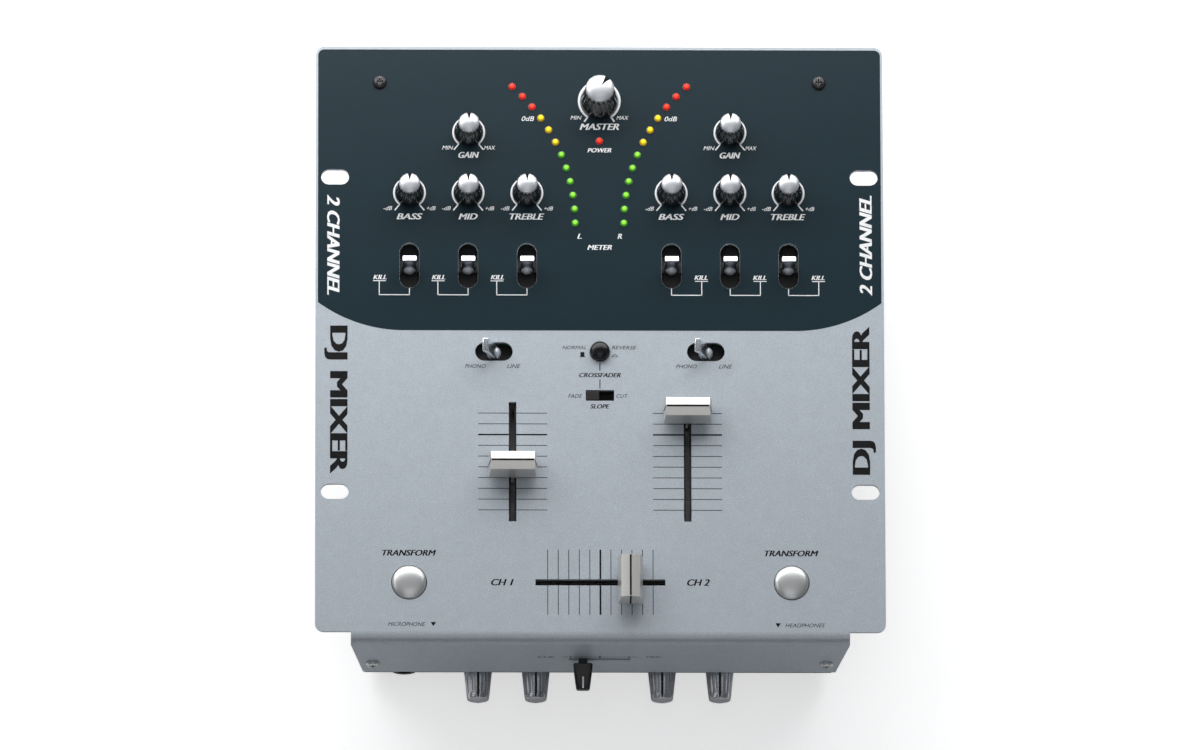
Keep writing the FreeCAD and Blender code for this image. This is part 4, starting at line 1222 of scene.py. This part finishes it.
@dataclass(frozen=True)
class CueCap:
    """The fascia slider's tapered black cap with a white pointer at its tip."""

    node: str = "cue_slider"
    length: float = 11.6 * MM
    mark: tuple[float, float] = (6.2 * MM, 11.2 * MM)
    mark_fall: float = 0.64 * MM

    def build(self) -> None:
        """Makes the cap pointing to the front, with its stem."""
        low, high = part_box(self.node)
        x, z, tip = (low.x + high.x) / 2, (low.z + high.z) / 2, low.y
        levels = [(4.0, 3.3, 0.8, 0, 0.0), (4.35, 3.6, 0.8, 0, 0.4), (4.3, 3.5, 0.8, 0, 1.2),
                  (3.05, 2.2, 0.8, 0, 10.9), (2.8, 1.95, 0.7, 0, 11.4), (2.3, 1.5, 0.6, 0, 11.6)]
        cap = stack([tuple(v * MM for v in level) for level in levels])
        line = slab(-0.35 * MM, 0.35 * MM, 1.9 * MM, 2.95 * MM, *self.mark).finished(1)
        line.points[:, 1] += np.interp(line.points[:, 2], self.mark, [0.0, -self.mark_fall])
        stem = slab(-2.0 * MM, 2.0 * MM, -0.7 * MM, 0.7 * MM, -9.0 * MM, 0.2 * MM).finished(2)
        shape = joined([cap, line, stem]).turned(Axis.X, 90).moved(x, tip + self.length, z)
        add_piece("cue_slider_cap", shape, [Kind.GLOSS.get(), Kind.WHITE_INK.get(), Kind.SWITCH.get()],
                  self.node, self.node, sharp_degrees=40)


@dataclass(frozen=True)
class TurnedButton:
    """A round push button with a domed face."""

    node: str
    kind: Kind
    slot: str
    radius: float
    edge_z: float
    crown: float
    skirt_z: float

    def build(self) -> None:
        """Makes the button: a straight skirt, a rolled edge and an elliptic dome."""
        x, y = Layout.centre(self.node)
        t = np.linspace(0, math.pi / 2, 16)
        dome = np.column_stack([(self.radius - 0.3 * MM) * np.cos(t), self.edge_z + self.crown * np.sin(t)])
        dome[-1, 0] = 0.02 * MM
        skirt = rounded([(self.radius - 0.3 * MM, self.skirt_z, 0), (self.radius, self.skirt_z, 0.2 * MM),
                         (self.radius, self.edge_z, 0.35 * MM), (self.radius - 0.35 * MM, self.edge_z, 0)])
        shape = lathe(np.vstack([skirt, dome]), 96).moved(x, y, 0)
        add_piece(self.node + "_face", shape, [self.kind.get()], self.node, self.node)


@dataclass(frozen=True)
class SlopeKnob:
    """The slope switch's small ribbed slide."""

    node: str = "slope_slider"
    rib_gap: float = 1.1 * MM
    rib_half: float = 0.28 * MM

    def build(self) -> None:
        """Makes the slide: a stepped block with five grip ribs."""
        low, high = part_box(self.node)
        x, y = Layout.centre(self.node)
        half_x, half_y = (high.x - low.x) / 2, (high.y - low.y) / 2
        top = high.z
        block = stack([(half_x, half_y, 0.3 * MM, 0, low.z), (half_x, half_y, 0.3 * MM, 0, top - 0.9 * MM),
                       (half_x - 0.2 * MM, half_y - 0.2 * MM, 0.3 * MM, 0, top - 0.6 * MM)])
        reach_y = half_y - 0.35 * MM
        ribs = [slab(i * self.rib_gap - self.rib_half, i * self.rib_gap + self.rib_half, -reach_y, reach_y,
                     top - 0.7 * MM, top - 0.02 * MM) for i in range(-2, 3)]
        shape = joined([block, *ribs]).moved(x, y, 0)
        add_piece("slope_slider_grip", shape, [Kind.SWITCH.get()], self.node, self.node,
                  bevel=0.08 * MM)


# ---- what the frame already holds
@dataclass(frozen=True)
class FrameParts:
    """The parts whose own shape is right: each gets its finish."""

    finishes: dict[str, Kind]

    @classmethod
    def of_mixer(cls) -> "FrameParts":
        """The mixer's list, from part to finish."""
        kinds = {
            Kind.FACE: ("top_panel",),
            Kind.CHASSIS: ("chassis_tray",),
            Kind.RUBBER: ("rubber_feet",),
            Kind.STEEL: ("foot_screws", "fascia_screws", "fader_bodies"),
            Kind.BLACK_STEEL: ("panel_screws",),
            Kind.BRASS: ("board_standoffs",),
            Kind.BOARD: ("main_circuit_board", "front_circuit_board", "rear_circuit_board"),
            Kind.CAN: ("rotary_pots", "front_pots"),
            Kind.SWITCH: ("lever_switch_bodies", "reverse_switch_body", "slope_switch_body",
                          "transform_switches", "cue_slider_body", "front_jacks", "power_inlet",
                          "power_switch_body"),
            Kind.SHIELD: ("fader_dust_shields",),
            Kind.GREEN_LIGHT: ("meter_leds_green",),
            Kind.YELLOW_LIGHT: ("meter_leds_yellow",),
            Kind.RED_LIGHT: ("meter_leds_red",),
            Kind.NICKEL: ("rca_barrels", "ground_posts"),
            Kind.RING_RED: ("rca_rings_red",),
            Kind.RING_WHITE: ("rca_rings_white",),
            Kind.GLOSS: ("power_rocker",),
        }
        return cls({node: kind for kind, nodes in kinds.items() for node in nodes})

    def dress(self, nodes: dict[str, bpy.types.Object]) -> None:
        """Puts each finish on its part.

        Args:
            nodes: the frame's parts by name.
        """
        for node, kind in self.finishes.items():
            part = nodes[node]
            for place in part.material_slots:
                place.material = kind.get()
            LOG.info("finish %s on %s", kind.value.name, node)


# ---- studio
@dataclass(frozen=True)
class Lamp:
    """A rectangular soft light: its place, the point it faces, its width and depth, and its watts."""

    name: str
    place: Place
    aim: Place
    width: float
    depth: float
    watts: float

    def light(self) -> None:
        """Hangs the light."""
        lamp = bpy.data.lights.new(self.name, "AREA")
        lamp.shape, lamp.size, lamp.size_y, lamp.energy = "RECTANGLE", self.width, self.depth, self.watts
        holder = new_object(self.name, lamp)
        holder.location = self.place
        holder.rotation_euler = (Vector(self.aim) - Vector(self.place)).to_track_quat("-Z", "Y").to_euler()


@dataclass(frozen=True)
class Studio:
    """A pale floor, one large soft light close behind, weak fill, and the camera."""

    elevation: float = 74.0
    side_lean: float = -0.9
    distance: float = 9.0
    lens_mm: float = 604.0
    sensor_mm: float = 36.0
    farthest: float = 100.0
    aim: Place = (0.0003, -0.003, 0.062)
    floor_reach: float = 14.0
    floor_tone: float = 0.86
    floor_glow: float = 0.05
    floor_glow_seen: float = 0.53
    room: Colour = (0.90, 0.94, 1.0)
    room_strength: float = 0.13
    lamps: tuple[Lamp, ...] = (
        Lamp("rear_softbox", (-0.06, 0.58, 0.52), (0.0, 0.05, 0.07), 1.7, 0.64, 9.3),
        Lamp("rear_strip", (-0.10, 0.43, 0.42), (0.0, 0.08, 0.07), 1.2, 0.2, 1.1),
        Lamp("left_fill", (-1.3, 0.1, 1.1), (0.0, 0.0, 0.0), 0.8, 0.8, 1.5),
        Lamp("top_soft", (0.0, -0.45, 2.2), (0.0, 0.0, 0.0), 0.9, 0.9, 1.7),
        Lamp("front_strip", (0.0, -1.1, 1.15), (0.0, 0.0, 0.07), 1.1, 0.34, 1.5))

    def build(self) -> None:
        """Sets the floor, the lights, the surroundings and the camera."""
        self.floor()
        for lamp in self.lamps:
            lamp.light()
        world = bpy.data.worlds.new("pale_room")
        world.use_nodes = True
        background = world.node_tree.nodes["Background"]
        background.inputs["Color"].default_value = (*self.room, 1.0)
        background.inputs["Strength"].default_value = self.room_strength
        bpy.context.scene.world = world
        bpy.context.scene.view_settings.view_transform = "Standard"
        self.camera()

    def floor(self) -> None:
        """A wide pale sheet under the feet, which the camera sees a little brighter than the object does."""
        mesh, reach = bpy.data.meshes.new("floor"), self.floor_reach
        mesh.from_pydata([(-reach, -reach, 0), (reach, -reach, 0), (reach, reach, 0), (-reach, reach, 0)],
                         [], [(0, 1, 2, 3)])
        floor = new_object("floor", mesh)
        material = bpy.data.materials.new("pale_floor")
        material.use_nodes = True
        graph = Graph(material.node_tree)
        shader = material.node_tree.nodes["Principled BSDF"]
        for socket, value in (("Base Color", (self.floor_tone,) * 3 + (1.0,)), ("Roughness", 0.9),
                              ("Specular IOR Level", 0.1), ("Emission Color", (1.0, 1.0, 1.0, 1.0))):
            shader.inputs[socket].default_value = value
        seen = graph.add("ShaderNodeLightPath").outputs["Is Camera Ray"]
        glow = graph.math("MULTIPLY_ADD", seen, self.floor_glow_seen, self.floor_glow)
        graph.join({"Emission Strength": glow}, shader)
        mesh.materials.append(material)

    def camera(self) -> None:
        """A very long lens far off, so that upright edges stay parallel; no shift, no depth of field.

        The view leans a little to the side while the object's X axis stays level in the frame.
        """
        data = bpy.data.cameras.new("camera")
        data.lens, data.sensor_width, data.clip_end = self.lens_mm, self.sensor_mm, self.farthest
        holder = new_object("camera", data)
        tilt, lean = math.radians(self.elevation), math.radians(self.side_lean)
        back = Vector((math.sin(lean), -math.cos(tilt) * math.cos(lean), math.sin(tilt) * math.cos(lean)))
        level = Vector((1.0, back.x * back.y / 2, 0.0))
        right = (level - back * level.dot(back)).normalized()
        turn = Matrix((right, back.cross(right), back)).transposed()
        holder.location = Vector(self.aim) + back * self.distance
        holder.rotation_euler = turn.to_euler()
        bpy.context.scene.camera = holder


# ---- the mixer
@dataclass
class Mixer:
    """The whole object: every control in its place. Rows are in millimetres behind the front edge."""

    face_depth: float = 271.6 * MM
    knob_gap: float = 0.8 * MM
    kill_row: float = 169.4
    input_row: float = 129.5
    input_x: float = 47.3 * MM

    def build(self, nodes: dict[str, bpy.types.Object]) -> None:
        """Dresses the frame's parts and adds the finer pieces, one group after another."""
        layout = Layout.read(self.face_depth)
        FrameParts.of_mixer().dress(nodes)
        self.knobs(layout)
        self.levers(layout)
        for cap in (FaderCap("channel_fader_left"), FaderCap("channel_fader_right"),
                    FaderCap("crossfader", turn=90.0)):
            cap.build()
        CueCap().build()
        SlopeKnob().build()
        self.buttons()
        Legends(layout).build()

    def knobs(self, layout: Layout) -> None:
        """The nine knobs on the faceplate and the four below the fascia."""
        seat = layout.face_z + self.knob_gap
        small = dict(base=6.5 * MM, waist=4.95 * MM, cap=4.65 * MM, dome=3.4 * MM, pointer_from=1.0 * MM)
        large = dict(base=8.4 * MM, waist=6.6 * MM, cap=6.35 * MM, dome=4.2 * MM, pointer_from=1.6 * MM,
                     turn=-35.0)
        knobs = {f"knob_{name}_{side}": small for side in ("left", "right")
                 for name in ("gain", "bass", "mid", "treble")}
        for node, sizes in {**knobs, "knob_master": large}.items():
            RotaryKnob(node, height=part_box(node)[1].z - seat, **sizes).build(seat)
        for name in ("microphone_level", "microphone_tone", "cue_mix", "headphone_level"):
            FrontKnob("knob_" + name).build()

    def levers(self, layout: Layout) -> None:
        """Six upright levers in long slots and two that lean left in cross slots."""
        for side in ("left", "right"):
            for tone in ("bass", "mid", "treble"):
                node = f"kill_lever_{tone}_{side}"
                Lever(node).build(Layout.centre(node)[0], layout.y(self.kill_row))
        for side, x in (("left", -self.input_x), ("right", self.input_x)):
            Lever(f"input_lever_{side}", turn=-90.0, lean=-15.0).build(x, layout.y(self.input_row))

    def buttons(self) -> None:
        """The two transform buttons and the reverse button."""
        for side in ("left", "right"):
            TurnedButton(f"transform_button_{side}", Kind.BUTTON, "button_silver", radius=7.6 * MM,
                         edge_z=78.3 * MM, crown=1.6 * MM, skirt_z=73.5 * MM).build()
        TurnedButton("reverse_button", Kind.GLOSS, "button_black", radius=4.3 * MM,
                     edge_z=80.2 * MM, crown=1.5 * MM, skirt_z=70.0 * MM).build()


def main() -> None:
    """Loads the frame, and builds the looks."""
    logging.basicConfig(level=logging.INFO, format="%(name)s: %(message)s")
    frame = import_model()
    Studio().build()
    Mixer().build(frame["nodes"])


if __name__ == "__main__":
    main()
